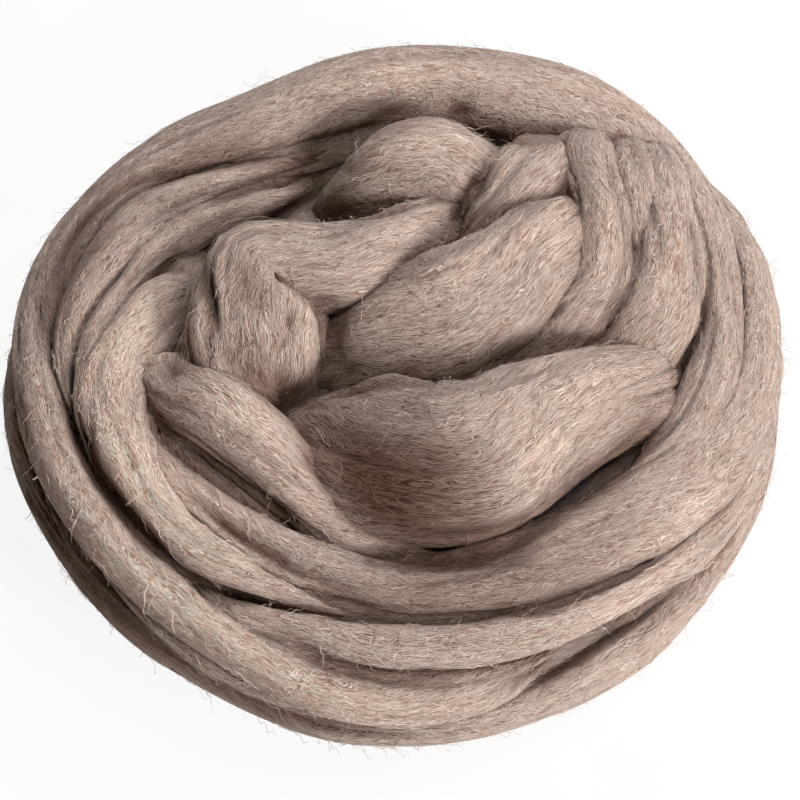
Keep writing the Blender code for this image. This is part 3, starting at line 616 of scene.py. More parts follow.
def newPiece(name, points, loops, firstLoops, maps, values, material):
    mesh = bpy.data.meshes.new(name)
    mesh.vertices.add(len(points))
    mesh.vertices.foreach_set("co", np.ascontiguousarray(points, np.float32).ravel())
    mesh.loops.add(len(loops))
    mesh.loops.foreach_set("vertex_index", loops.astype(np.int32))
    mesh.polygons.add(len(firstLoops))
    mesh.polygons.foreach_set("loop_start", firstLoops.astype(np.int32))
    for mapName, places in maps.items():
        layer = mesh.uv_layers.new(name=mapName)
        layer.uv.foreach_set("vector", np.ascontiguousarray(places, np.float32).ravel())
    for valueName, numbers in values.items():
        layer = mesh.attributes.new(valueName, "FLOAT", "POINT")
        layer.data.foreach_set("value", np.ascontiguousarray(numbers, np.float32).ravel())
    mesh.update(calc_edges=True)
    mesh.shade_smooth()
    mesh.materials.append(material)
    piece = bpy.data.objects.new(name, mesh)
    bpy.context.scene.collection.objects.link(piece)
    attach(piece, "root")
    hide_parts("roving_nest")
    return piece


def quadsOf(points):  # each cell's corners, and its row and column
    rows, columns = points.shape[:2]
    row, column = (part.ravel() for part in np.indices((rows - 1, columns)))
    low = row * columns
    high = low + columns
    after = (column + 1) % columns
    return np.stack([low + column, high + column, high + after, low + after], -1), row, column


def strandPiece(name, grid, material):
    points = grid["points"]
    rows, columns = points.shape[:2]
    quads, row, column = quadsOf(points)
    cornerRow = np.stack([row, row + 1, row + 1, row], -1).ravel()
    cornerColumn = np.stack([column, column, column + 1, column + 1], -1).ravel()
    firstEnd = np.arange(columns)
    lastEnd = (rows - 1) * columns + firstEnd[::-1]
    loops = np.concatenate([quads.ravel(), firstEnd, lastEnd])
    firstLoops = np.append(np.arange(0, quads.size + 1, 4), quads.size + columns)
    cornerRow = np.concatenate([cornerRow, np.zeros(columns, int), np.full(columns, rows - 1)])
    cornerColumn = np.concatenate([cornerColumn, firstEnd, firstEnd[::-1]])
    around = grid["around"]
    girth = around[:, -1:]
    share = around / girth
    evened = share * np.sqrt(girth * girth.mean())
    along = grid["along"][cornerRow] + nest["laySeed"] * grid["seed"]
    lay = np.stack([along, evened[cornerRow, cornerColumn]], -1) * mm
    flat = np.stack([cornerRow / (rows - 1), share[cornerRow, cornerColumn]], -1)
    maps = {"fibreLay": lay, "OFBake": flat}
    values = {"openness": grid["openness"]}
    return newPiece(name, points.reshape(-1, 3), loops, firstLoops, maps, values, material)


def setInput(tree, socket, value):  # value: a number, a colour or another node's output
    if isinstance(value, bpy.types.NodeSocket):
        tree.links.new(value, socket)
    else:
        socket.default_value = value


def addNode(tree, kind, x, y, settings=None, values=None):
    node = tree.nodes.new(kind)
    node.location = (x, y)
    for key, value in (settings or {}).items():
        setattr(node, key, value)
    for key, value in (values or {}).items():
        setInput(tree, node.inputs[key], value)
    return node


def maths(tree, operation, x, y, *values):
    node = addNode(tree, "ShaderNodeMath", x, y, {"operation": operation})
    for socket, value in zip(node.inputs, values):
        setInput(tree, socket, value)
    return node.outputs[0]


def ranged(tree, x, y, value, low, high, smooth=False, to=(0, 1)):  # low to high drawn out over to
    settings = {"interpolation_type": "SMOOTHSTEP" if smooth else "LINEAR"}
    values = {"Value": value, "From Min": low, "From Max": high, "To Min": to[0], "To Max": to[1]}
    return addNode(tree, "ShaderNodeMapRange", x, y, settings, values).outputs[0]


def mixed(tree, x, y, share, first, second, settings=None):  # two colours
    values = {"Factor": share, "A": first, "B": second}
    settings = {"data_type": "RGBA", **(settings or {})}
    return addNode(tree, "ShaderNodeMix", x, y, settings, values).outputs["Result"]


def newGroup(name, inputs, outputs):
    tree = bpy.data.node_groups.new(name, "ShaderNodeTree")
    for socketName, kind, value in inputs:
        socket = tree.interface.new_socket(socketName, in_out="INPUT", socket_type="NodeSocket" + kind)
        if value is not None:
            socket.default_value = value
    for socketName, kind in outputs:
        tree.interface.new_socket(socketName, in_out="OUTPUT", socket_type="NodeSocket" + kind)
    return tree, addNode(tree, "NodeGroupInput", -1400, 0), addNode(tree, "NodeGroupOutput", 3000, 0)


# the fibres in the wool's skin: how far each layer slants and wanders, lengths in mm, and how rare
# its lines are, as the share of cells that have none
fibrePattern = {
    "fibres": {"slant": 0.0, "wander": 2.4, "seed": 0.3},
    "lines": {
        "laid": {"slant": 0.04, "wander": 2.4, "long": 4.0, "wide": 0.30, "seed": 11.9, "rare": 0.15},
        "crossing": {"slant": 0.20, "wander": 3.0, "long": 3.6, "wide": 0.36, "seed": 31.7, "rare": 0.25},
        "straying": {"slant": -0.30, "wander": 4.0, "long": 3.2, "wide": 0.44, "seed": 57.1, "rare": 0.30},
    },
    "drift": {"long": 11, "wide": 4.0, "seed": 7},
    "streak": {"long": 15, "wide": 0.8, "seed": 43.7},
    "lock": {"long": 26, "wide": 3.2, "seed": 81.3},
    "streakShare": 0.45,
    "lockHigh": 2.5,
    "profile": (0.85, 0.10),  # from a fibre's edge, darkened as painted shade, to its lit middle
    "profileShare": 0.30,
    "chanceShare": 0.50,
    "leastTone": 0.10,
    "lineEdge": (0.62, 0.30),  # in fibre thicknesses, from where a line ends to where it is full
    "lineEnds": (0.50, 0.34),  # the same along it, in fibre lengths
    "lineShown": 0.35,  # over rare, the chance at which a line is full
    "detail": 2,
}


def combedFibres():  # crimped fibres that lie along a strand, from its lay in metres
    tree, source, sink = newGroup(
        "combedFibres",
        (
            ("Lay", "Vector", None),
            ("Fibre Length", "Float", 2.4),
            ("Fibre Width", "Float", 0.20),
            ("Crimp Length", "Float", 4.0),
            ("Crimp Height", "Float", 0.08),
            ("Fibre Thickness", "Float", 0.15),
        ),
        (("Tone", "Float"), ("Loose", "Float"), ("Lock", "Float"), ("Height", "Float")),
    )
    given = source.outputs
    split = addNode(tree, "ShaderNodeSeparateXYZ", -1700, 0, None, {"Vector": given["Lay"]}).outputs
    along = maths(tree, "MULTIPLY", -1550, 100, split[0], 1 / mm)
    across = maths(tree, "MULTIPLY", -1550, -100, split[1], 1 / mm)

    def layPlace(x, y, long, wide, shifted, seed):
        down = maths(tree, "DIVIDE", x - 180, y + 60, along, long)
        offset = maths(tree, "DIVIDE", x - 180, y - 60, shifted, wide)
        values = {"X": down, "Y": maths(tree, "ADD", x - 90, y - 60, offset, seed)}
        return addNode(tree, "ShaderNodeCombineXYZ", x, y, None, values).outputs[0]

    def layNoise(x, y, long, wide, seed):
        place = layPlace(x, y, long, wide, across, seed)
        values = {"Vector": place, "Scale": 1, "Detail": fibrePattern["detail"]}
        texture = addNode(tree, "ShaderNodeTexNoise", x + 180, y, {"noise_dimensions": "2D"}, values)
        return maths(tree, "SUBTRACT", x + 360, y, texture.outputs["Fac"], 0.5)

    def layCells(y, slant, wander, long, wide, seed):  # one cell to each fibre
        size = fibrePattern["drift"]
        drift = layNoise(-1300, y, size["long"], size["wide"], seed + size["seed"])
        drifted = maths(tree, "MULTIPLY_ADD", -500, y, drift, wander, across)
        slanted = maths(tree, "MULTIPLY_ADD", -300, y, along, slant, drifted)
        place = layPlace(-100, y, long, wide, slanted, seed)
        values = {"Vector": place, "Scale": 1}
        cells = addNode(tree, "ShaderNodeTexVoronoi", 100, y, {"voronoi_dimensions": "2D"}, values).outputs
        chances = addNode(tree, "ShaderNodeSeparateColor", 300, y, None, {"Color": cells["Color"]}).outputs
        return place, cells, chances

    def crimpedLines(y, slant, wander, long, wide, seed, rare):  # a crimped line down each cell's middle
        place, cells, chances = layCells(y, slant, wander, long, wide, seed)
        offset = addNode(tree, "ShaderNodeVectorMath", 300, y - 200, {"operation": "SUBTRACT"})
        setInput(tree, offset.inputs[0], place)
        setInput(tree, offset.inputs[1], cells["Position"])
        values = {"Vector": offset.outputs[0]}
        local = addNode(tree, "ShaderNodeSeparateXYZ", 450, y - 200, None, values).outputs
        run = maths(tree, "MULTIPLY", 600, y - 100, local[0], long)
        crimps = maths(tree, "DIVIDE", 750, y, run, given["Crimp Length"])
        turns = maths(tree, "ADD", 900, y, crimps, chances[0])
        wave = maths(tree, "SINE", 1200, y, maths(tree, "MULTIPLY", 1050, y, turns, math.tau))
        swing = maths(tree, "MULTIPLY", 1350, y, wave, given["Crimp Height"])
        aside = maths(tree, "MULTIPLY", 600, y - 300, local[1], wide)
        away = maths(tree, "ABSOLUTE", 1650, y, maths(tree, "SUBTRACT", 1500, y, aside, swing))
        thin = maths(tree, "DIVIDE", 1800, y, away, given["Fibre Thickness"])
        line = ranged(tree, 1950, y, thin, *fibrePattern["lineEdge"], True)
        down = maths(tree, "ABSOLUTE", 600, y - 400, local[0])
        ends = ranged(tree, 1950, y - 200, down, *fibrePattern["lineEnds"], True)
        shown = ranged(tree, 1950, y - 400, chances[1], rare, rare + fibrePattern["lineShown"], True)
        return maths(tree, "MULTIPLY", 2250, y, maths(tree, "MULTIPLY", 2100, y, line, ends), shown)

    size = {"long": given["Fibre Length"], "wide": given["Fibre Width"]}
    _, cells, chances = layCells(1400, **size, **fibrePattern["fibres"])
    profile = ranged(tree, 450, 1400, cells["Distance"], *fibrePattern["profile"], True)
    shares = fibrePattern["chanceShare"], fibrePattern["leastTone"]
    least = maths(tree, "MULTIPLY_ADD", 600, 1300, chances[0], *shares)
    tone = maths(tree, "MULTIPLY_ADD", 600, 1400, profile, fibrePattern["profileShare"], least)
    layers = enumerate(fibrePattern["lines"].values())
    loose, *others = [crimpedLines(700 - 800 * layer, **size) for layer, size in layers]
    for step, line in enumerate(others):
        loose = maths(tree, "MAXIMUM", 2400 + 150 * step, 0, loose, line)
    streak = layNoise(200, -1400, **fibrePattern["streak"])
    lock = layNoise(200, -1700, **fibrePattern["lock"])
    height = maths(tree, "ADD", 2700, -600, loose, profile)
    results = {
        "Tone": maths(tree, "MULTIPLY_ADD", 750, 1500, streak, fibrePattern["streakShare"], tone),
        "Loose": loose,
        "Lock": lock,
        "Height": maths(tree, "MULTIPLY_ADD", 2850, -700, lock, fibrePattern["lockHigh"], height),
    }
    for key, value in results.items():
        setInput(tree, sink.inputs[key], value)
    return tree


# where the greyer and the warmer wool lies: patches for each metre, and how much of them shows
tintPatches = {
    "Grey": {"scale": 34, "low": 0.45, "high": 0.68},
    "Warm": {"scale": 27, "low": 0.50, "high": 0.72},
}
patchGrain = {"Detail": 3, "Roughness": 0.6}


def woolTint():  # slow drifts of the dye and of dust-grey fibres through the nest
    tree, source, sink = newGroup(
        "woolTint",
        (
            ("Place", "Vector", None),
            ("Colour", "Color", (0.5, 0.4, 0.35, 1)),
            ("Grey", "Color", (0.42, 0.38, 0.34, 1)),
            ("Warm", "Color", (0.55, 0.36, 0.27, 1)),
            ("Grey Share", "Float", 0.35),
            ("Warm Share", "Float", 0.3),
        ),
        (("Colour", "Color"),),
    )
    given = source.outputs
    colour = given["Colour"]
    for step, (key, patch) in enumerate(tintPatches.items()):
        y = 200 - 400 * step
        values = {"Vector": given["Place"], "Scale": patch["scale"], **patchGrain}
        texture = addNode(tree, "ShaderNodeTexNoise", -900, y, None, values)
        patches = ranged(tree, -700, y, texture.outputs["Fac"], patch["low"], patch["high"], True)
        share = maths(tree, "MULTIPLY", -500, y, patches, given[key + " Share"])
        colour = mixed(tree, 300 * step, 100, share, colour, given[key])
    setInput(tree, sink.inputs["Colour"], colour)
    return tree


fibreGroup = combedFibres()
tintGroup = woolTint()

# the wool's finish
wool = {
    "deep": (0.065, 0.026, 0.016, 1),  # painted shade between the fibres
    "body": (0.310, 0.186, 0.138, 1),
    "bodyPlace": 0.45,  # between deep at 0 and lit at 1
    "lit": (0.620, 0.458, 0.382, 1),  # the fibres on top: paler at random, and as painted light in their middles
    "loose": (0.780, 0.650, 0.575, 1),
    "looseShare": 0.95,
    "lockShare": 0.55,
    "grey": (0.310, 0.262, 0.226, 1),
    "warm": (0.390, 0.248, 0.180, 1),
    "tints": (0.12, 0.30),  # how much of the grey and of the warm
    "shaded": (0.17, 0.070, 0.045, 1),  # painted shade: what the colours sink to where little light gets in
    "shadedLoose": (0.32, 0.19, 0.135, 1),
    "shadedOver": (0.05, 0.88),  # painted shade in full at the first openness, none at the second
    "paintedHighlight": (1.45, 1.42, 1.39, 1),  # painted highlight: how much the colours rise on the crests
    "rough": (0.75, 0.50),  # from its dark to its pale fibres
    "bump": {"Strength": 1.0, "Distance": 0.00018},
    "gloss": {"Anisotropic": 0.90, "Anisotropic Rotation": 0.25},  # drawn out across the fibres
    "finish": {
        "Metallic": 0,
        "Roughness": 0.60,
        "Specular IOR Level": 0.60,
        "Specular Tint": (1.0, 0.88, 0.80, 1),
        "Sheen Weight": 0.16,
        "Sheen Roughness": 0.45,
        "Sheen Tint": (1.0, 0.90, 0.84, 1),
    },
}


def principled(name):
    material = bpy.data.materials.new(name)
    material.use_nodes = True
    tree = material.node_tree
    shader = tree.nodes["Principled BSDF"]
    shader.location = (700, 0)
    for key, value in wool["finish"].items():
        shader.inputs[key].default_value = value
    tree.nodes["Material Output"].location = (1000, 0)
    return material, tree, shader


def ramped(tree, x, y, tone, dark, light, middle=None):
    ramp = addNode(tree, "ShaderNodeValToRGB", x, y, None, {"Fac": tone})
    stops = ramp.color_ramp.elements
    stops[0].color = dark
    stops[1].color = light
    if middle:
        stops.new(wool["bodyPlace"]).color = middle
    return ramp.outputs["Color"]


def tinted(tree, x, y, colour, greyShare, warmShare):
    place = addNode(tree, "ShaderNodeTexCoord", x - 200, y - 200)
    values = {
        "Place": place.outputs["Object"],
        "Colour": colour,
        "Grey": wool["grey"],
        "Warm": wool["warm"],
        "Grey Share": greyShare,
        "Warm Share": warmShare,
    }
    return addNode(tree, "ShaderNodeGroup", x, y, {"node_tree": tintGroup}, values).outputs["Colour"]


def shadedDeep(tree, x, y, colour, deepest):  # painted shade where the wool is sheltered, painted highlight on crests
    settings = {"attribute_name": "openness"}
    openness = addNode(tree, "ShaderNodeAttribute", x - 500, y - 200, settings).outputs["Fac"]
    share = ranged(tree, x - 300, y - 200, openness, *wool["shadedOver"])
    tone = mixed(tree, x - 100, y - 200, share, deepest, (1, 1, 1, 1))
    sunk = mixed(tree, x, y, 1, colour, tone, {"blend_type": "MULTIPLY"})
    paintedHighlight = ranged(tree, x, y - 400, openness, 1, 2)
    settings = {"blend_type": "MULTIPLY", "clamp_result": True}
    return mixed(tree, x + 200, y, paintedHighlight, sunk, wool["paintedHighlight"], settings)


def combedWool(name, shade):  # shade darkens the whole of it as painted shade
    material, tree, shader = principled(name)
    lay = addNode(tree, "ShaderNodeUVMap", -1100, 0, {"uv_map": "fibreLay"})
    settings = {"node_tree": fibreGroup}
    fibres = addNode(tree, "ShaderNodeGroup", -900, 0, settings, {"Lay": lay.outputs["UV"]}).outputs
    tone = maths(tree, "MULTIPLY_ADD", -700, 300, fibres["Lock"], wool["lockShare"], fibres["Tone"])
    deep, lit, body, pale = (
        [shade * part for part in wool[key][:3]] + [1] for key in ("deep", "lit", "body", "loose")
    )
    colour = tinted(tree, -150, 200, ramped(tree, -500, 200, tone, deep, lit, body), *wool["tints"])
    share = maths(tree, "MULTIPLY", -350, 50, fibres["Loose"], wool["looseShare"])
    # painted shade and painted highlight from the openness, on the wool and on the pale loose lines over it
    under = shadedDeep(tree, 200, 200, colour, wool["shaded"])
    over = shadedDeep(tree, 200, 700, pale, wool["shadedLoose"])
    settings = {"direction_type": "UV_MAP", "uv_map": "fibreLay"}
    alongFibres = addNode(tree, "ShaderNodeTangent", 400, -500, settings)
    values = {**wool["bump"], "Height": fibres["Height"]}
    inputs = {
        "Base Color": mixed(tree, 500, 200, share, under, over),
        "Roughness": ranged(tree, 0, -200, fibres["Tone"], 0, 1, to=wool["rough"]),
        "Tangent": alongFibres.outputs["Tangent"],
        "Normal": addNode(tree, "ShaderNodeBump", 300, -300, None, values).outputs["Normal"],
        **wool["gloss"],
    }
    for key, value in inputs.items():
        setInput(tree, shader.inputs[key], value)
    return material


# the loose fibres' finish, from the darkest of them to the palest
fibreFinish = {
    "paler": 0.12,  # from one end of a fibre to the other
    "tints": (0.3, 0.2),
    "rough": (0.65, 0.42),
    "surface": ((0.40, 0.28, 0.22, 1), (0.92, 0.79, 0.70, 1)),
    "stray": ((0.42, 0.30, 0.24, 1), (0.88, 0.76, 0.68, 1)),
}


def looseFibre(name, dark, light):  # one tone to a fibre, a little paler along it
    material, tree, shader = principled(name)
    lay = addNode(tree, "ShaderNodeUVMap", -900, 0, {"uv_map": "fibreTone"})
    split = addNode(tree, "ShaderNodeSeparateXYZ", -700, 0, None, {"Vector": lay.outputs["UV"]}).outputs
    tone = maths(tree, "MULTIPLY_ADD", -500, 0, split[0], fibreFinish["paler"], split[1])
    colour = tinted(tree, 100, 100, ramped(tree, -300, 100, tone, dark, light), *fibreFinish["tints"])
    rough = ranged(tree, 0, -200, tone, 0, 1, to=fibreFinish["rough"])
    # painted shade where the fibre lies sheltered, painted highlight on crests
    setInput(tree, shader.inputs["Base Color"], shadedDeep(tree, 500, 100, colour, wool["shadedLoose"]))
    setInput(tree, shader.inputs["Roughness"], rough)
    return material


strandWool = combedWool("strandWool", 1.0)
# a darker copy of the wool, as painted shade on the packed wool deep in the nest
paintedShadeWool = combedWool("paintedShadeWool", 0.65)
surfaceFibre = looseFibre("surfaceFibre", *fibreFinish["surface"])
strayFibre = looseFibre("strayFibre", *fibreFinish["stray"])
print("materials made")

# every strand's skin
grids = {}
for index, (name, rows) in enumerate({**laidTurns, **innerFolds}.items()):
    middles, pointsOf = (turnMiddles, turnPoints) if name in laidTurns else (foldMiddles, foldPoints)
    grids[name] = strandGrid(rows, middles, pointsOf, 1.0 + index)
strandNames = list(grids)
print("strands shaped:", len(grids))


# the packed wool under them, in mm
packed = {
    "coreDepth": 8,
    "coreStep": 3.0,  # degrees round the nest
    "coreTurn": 6.0,  # degrees round the core
    "heartReach": 80,
    "heartHigh": 50,
    "heartSquareness": 3,
    "heartFoot": 5,
    "heartTop": 0.3,  # degrees from upright at the first ring
    "heartRings": 44,
    "seed": 60,
}


def coreGrid():
    bearings = np.arange(0, 361, packed["coreStep"])
    turns = np.radians(np.arange(180, -180, -packed["coreTurn"]))
    reach = ringRadius - packed["coreDepth"]
    points = ringPoint(bearings[:, None], turns[None], reach)
    along = np.radians(bearings) * nest["ringPlan"][0]
    across = np.broadcast_to(reach * np.cos(turns), points.shape[:2])
    up = np.broadcast_to(reach * np.sin(turns), points.shape[:2])
    wide = np.full(len(bearings), 2.0 * reach)
    points = points + normalsOf(points) * swelling(along, across, up, wide, packed["seed"])[..., None]
    return gridOf(points, along, packed["seed"])


def heartGrid():  # rows run out and down from its top
    falls = np.radians(np.linspace(packed["heartTop"], 90, packed["heartRings"]))[:, None]
    bearings = np.radians(np.arange(0, 360, packed["coreStep"]))[None]
    reach = packed["heartReach"] * rounded(np.sin(falls), packed["heartSquareness"])
    high = packed["heartHigh"] * rounded(np.cos(falls), packed["heartSquareness"])
    high = np.maximum(high, packed["heartFoot"]) + 0 * bearings
    points = np.stack([reach * np.cos(bearings), reach * np.sin(bearings), high], -1)
    return gridOf(points, falls[:, 0] * packed["heartReach"], packed["seed"] + 1)


grids["ringCore"] = coreGrid()
grids["heart"] = heartGrid()

# how open the wool lies to the light, which sets the painted shade in its colours: rays that leave its skin
# and meet no other wool
shelter = {
    "reach": 0.028,
    "rays": 16,
    "rowStep": 2,
    "columnStep": 2,
    "clear": 0.0004,
    "aside": (0.31, 0.87, 0.38),  # a way that few normals have, to find sideways with
}


def nestTree():
    corners = []
    faces = []
    for grid in grids.values():
        quads = quadsOf(grid["points"])[0][:, [0, 3, 2, 1]]  # the other way round
        faces += (quads + len(corners)).tolist()
        corners += grid["points"].reshape(-1, 3).tolist()
    return BVHTree.FromPolygons(corners, faces)


def rayFan():  # even over a half sphere, thicker towards its pole
    share = (np.arange(shelter["rays"]) + 0.5) / shelter["rays"]
    turn = np.arange(shelter["rays"]) * math.pi * (3 - math.sqrt(5))
    flat = np.sqrt(share)
    return np.stack([flat * np.cos(turn), flat * np.sin(turn), np.sqrt(1 - share)], -1)


def opennessOf(grid, skins, fan):
    points, normals = grid["points"], grid["normals"]
    rows, columns = points.shape[:2]
    someRows = np.unique(np.append(np.arange(0, rows, shelter["rowStep"]), rows - 1))
    someColumns = np.arange(0, columns, shelter["columnStep"])
    some = np.ix_(someRows, someColumns)
    normal = normals[some]
    side = unit(np.cross(normal, shelter["aside"]))
    upright = np.cross(normal, side)
    rays = fan[:, 0, None, None, None] * side + fan[:, 1, None, None, None] * upright
    rays = (rays + fan[:, 2, None, None, None] * normal).reshape(len(fan), -1, 3)
    origins = (points[some] + normal * shelter["clear"]).reshape(-1, 3).tolist()
    total = np.zeros(len(origins))
    for ray in rays:
        for place, heading in enumerate(ray.tolist()):
            distance = skins.ray_cast(origins[place], heading, shelter["reach"])[3]
            total[place] += 1 if distance is None else distance / shelter["reach"]
    coarse = total.reshape(len(someRows), len(someColumns)) / len(fan)
    wider = [np.interp(np.arange(columns), someColumns, line, period=columns) for line in coarse]
    return np.array([np.interp(np.arange(rows), someRows, line) for line in np.array(wider).T]).T


nestSkins = nestTree()
for grid in grids.values():
    # openness, times the creases' and crests' painted light, drives the painted shade and painted highlight
    # in the wool's colours
    grid["openness"] = opennessOf(grid, nestSkins, rayFan()) * grid["light"]
print("shelter worked out")

for name, grid in grids.items():
    strandPiece(name, grid, strandWool if name in strandNames else paintedShadeWool)
print("strands laid")


# the loose fibres: how many, the free room that they need over them, length, lift off the skin and
# thickness in mm, how far they stray from the combed way in degrees, and their crimps' length and
# height in mm
looseFibres = {
    "laidFibresA": {
        "count": 2500, "clear": 0.3, "long": (5, 10), "lift": (0.06, 0.30), "thick": 0.23,
        "stray": 12, "crimp": (1.8, 3.0), "curl": 0.24, "rising": False, "material": surfaceFibre,
    },
    "laidFibresB": {
        "count": 2500, "clear": 0.3, "long": (4, 9), "lift": (0.10, 0.60), "thick": 0.21,
        "stray": 22, "crimp": (1.8, 3.2), "curl": 0.30, "rising": False, "material": surfaceFibre,
    },
    "strayFibresA": {
        "count": 2500, "clear": 0.8, "long": (4, 10), "lift": (0.6, 2.8), "thick": 0.18,
        "stray": 40, "crimp": (2.0, 3.8), "curl": 0.38, "rising": True, "material": strayFibre,
    },
    "strayFibresB": {
        "count": 2400, "clear": 1.5, "long": (5, 12), "lift": (1.0, 4.2), "thick": 0.15,
        "stray": 50, "crimp": (2.4, 4.6), "curl": 0.45, "rising": True, "material": strayFibre,
    },
}

# what all the loose fibres share; the pairs are the ends of a random draw, but for tone
fibreShape = {
    "knots": 14,
    "tries": 3.4,  # roots tried for each one that is kept
    "thickness": (0.7, 1.2),
    "taper": 0.4,
    "tone": (0.01, 0.98),  # the least, and how far the tones reach over it
    "toneStep": 0.006,  # from one side of a fibre to the next
    "curl": (0.4, 1.4),
    "bow": 0.12,  # of its length
    "bob": 0.4,  # how much of its lift rises and falls with the crimp
    "rise": (1.2, 2.6),
    "foot": 0.2,  # share of its lift that a laid fibre has at its ends
    "arch": 0.8,
    "offFloor": 0.02,
}
chance = np.random.default_rng(7)


def tubeFaces(knots):  # the triangles of one three-sided fibre: a tip, rings of three, a tip
    rings = knots - 2
    last = 3 * rings + 1
    faces = []
    for corner in range(3):
        after = (corner + 1) % 3
        faces.append((0, 1 + corner, 1 + after))
        for low in range(1, 3 * rings - 2, 3):
            faces.append((low + corner, low + 3 + after, low + after))
            faces.append((low + corner, low + 3 + corner, low + 3 + after))
        faces.append((last - 3 + corner, last, last - 3 + after))
    return np.array(faces)


def fibreTubes(name, paths, normals, openness, thick, material):
    count, knots = paths.shape[:2]
    heading = unit(np.gradient(paths, axis=1))
    side = unit(np.cross(heading, normals))
    lift = np.cross(side, heading)
    slim = np.sin(np.linspace(0, math.pi, knots)) ** fibreShape["taper"]
    radius = (thick * chance.uniform(*fibreShape["thickness"], count)[:, None] / 2 * slim)[..., None]
    turns = (math.pi / 2, math.pi * 7 / 6, math.pi * 11 / 6)
    corners = [paths + (side * math.cos(turn) + lift * math.sin(turn)) * radius for turn in turns]
    rings = np.stack(corners, 2)[:, 1:-1].reshape(count, -1, 3)
    points = np.concatenate([paths[:, :1], rings, paths[:, -1:]], axis=1)
    points[..., 2] = np.maximum(points[..., 2], fibreShape["offFloor"])
    size = points.shape[1]
    loops = (tubeFaces(knots)[None] + size * np.arange(count)[:, None, None]).reshape(-1)
    knot = np.concatenate([[0], np.repeat(np.arange(1, knots - 1), 3), [knots - 1]])
    corner = np.concatenate([[0], np.tile([-1, 0, 1], knots - 2), [0]])
    least, reach = fibreShape["tone"]
    tone = least + reach * chance.uniform(0, 1, count)[:, None] + fibreShape["toneStep"] * corner[None]
    along = np.broadcast_to(knot / (knots - 1), tone.shape)
    places = np.stack([along, np.clip(tone, 0, 1)], -1).reshape(-1, 2)[loops]
    maps = {"fibreTone": places, "OFBake": places}
    values = {"openness": openness[:, knot]}
    firstLoops = np.arange(0, len(loops), 3)
    return newPiece(name, points.reshape(-1, 3) * mm, loops, firstLoops, maps, values, material)


def between(values, rows, columns):  # a grid's values between its corners
    low = rows.astype(int)
    left = np.floor(columns).astype(int)
    rowPart, columnPart = rows - low, columns - left
    if values.ndim == 3:
        rowPart, columnPart = rowPart[..., None], columnPart[..., None]
    left = left % values.shape[1]
    right = (left + 1) % values.shape[1]
    lower = values[low, left] * (1 - columnPart) + values[low, right] * columnPart
    upper = values[low + 1, left] * (1 - columnPart) + values[low + 1, right] * columnPart
    return lower * (1 - rowPart) + upper * rowPart


def shownArea(grid):
    points = grid["points"] / mm
    across = np.linalg.norm(np.roll(points, -1, axis=1) - points, axis=-1)
    return across[:, grid["shows"]].sum() * nest["alongStep"]


def scattered(count, clear):  # (strand, row, column) of roots spread evenly over the wool that shows
    areas = np.array([shownArea(grids[name]) for name in strandNames])
    tries = np.ceil(fibreShape["tries"] * count * areas / areas.sum()).astype(int)
    found = []
    for index, name in enumerate(strandNames):
        grid = grids[name]
        shown = np.flatnonzero(grid["shows"])
        rows = chance.uniform(0, len(grid["points"]) - 1.001, tries[index])
        columns = chance.uniform(shown[0], shown[-1], tries[index])
        roots = between(grid["points"], rows, columns)
        headings = unit(between(grid["normals"], rows, columns))
        origins = (roots + headings * shelter["clear"]).tolist()
        for place, heading in enumerate(headings.tolist()):
            if nestSkins.ray_cast(origins[place], heading, clear * mm)[0] is None:
                found.append((index, rows[place], columns[place]))
    found = np.array(found)
    return found[chance.permutation(len(found))[:count]]


def fibrePaths(kind):  # each fibre's knots in mm, its skin's normals and how open it lies
    roots = scattered(kind["count"], kind["clear"])
    knots = fibreShape["knots"]
    paths = np.zeros((len(roots), knots, 3))
    normals = np.zeros((len(roots), knots, 3))
    openness = np.zeros((len(roots), knots))
    share = np.linspace(0, 1, knots)[None]
    for index, name in enumerate(strandNames):
        mine = np.flatnonzero(roots[:, 0] == index)
        grid = grids[name]
        some = (len(mine), 1)
        long = chance.uniform(*kind["long"], some)
        angle = np.radians(chance.normal(0, kind["stray"], some))
        crimps = long * share / chance.uniform(*kind["crimp"], some)
        turn = math.tau * (crimps + chance.uniform(0, 1, some))
        curl = kind["curl"] * chance.uniform(*fibreShape["curl"], some)
        bow = chance.normal(0, fibreShape["bow"], some) * long * np.sin(math.pi * share)
        aside = long * share * np.sin(angle) + curl * np.sin(turn) + bow
        along = long * (share - chance.uniform(0, 1, some)) * np.cos(angle)
        steps = np.linalg.norm(np.diff(grid["points"] / mm, axis=1), axis=-1).mean(0)
        columnStep = steps[grid["shows"][:-1]].mean()
        rows = roots[mine, 1][:, None] + along / nest["alongStep"]
        columns = roots[mine, 2][:, None] + aside / columnStep
        kept = np.clip(rows, 0, len(grid["points"]) - 1.001)
        normal = unit(between(grid["normals"], kept, columns))
        if kind["rising"]:
            rise = share ** chance.uniform(*fibreShape["rise"], some)
        else:
            arch = np.sin(math.pi * share) ** fibreShape["arch"]
            rise = fibreShape["foot"] + (1 - fibreShape["foot"]) * arch
        high = chance.uniform(*kind["lift"], some) * rise * (np.abs(kept - rows) < 1)
        high = high * (1 + fibreShape["bob"] * np.cos(turn + 1))
        paths[mine] = between(grid["points"], kept, columns) / mm + normal * high[..., None]
        normals[mine] = normal
        openness[mine] = between(grid["openness"], kept, columns)
    return paths, normals, openness


for name, kind in looseFibres.items():
    fibreTubes(name, *fibrePaths(kind), kind["thick"], kind["material"])
    print("loose fibres laid:", name)


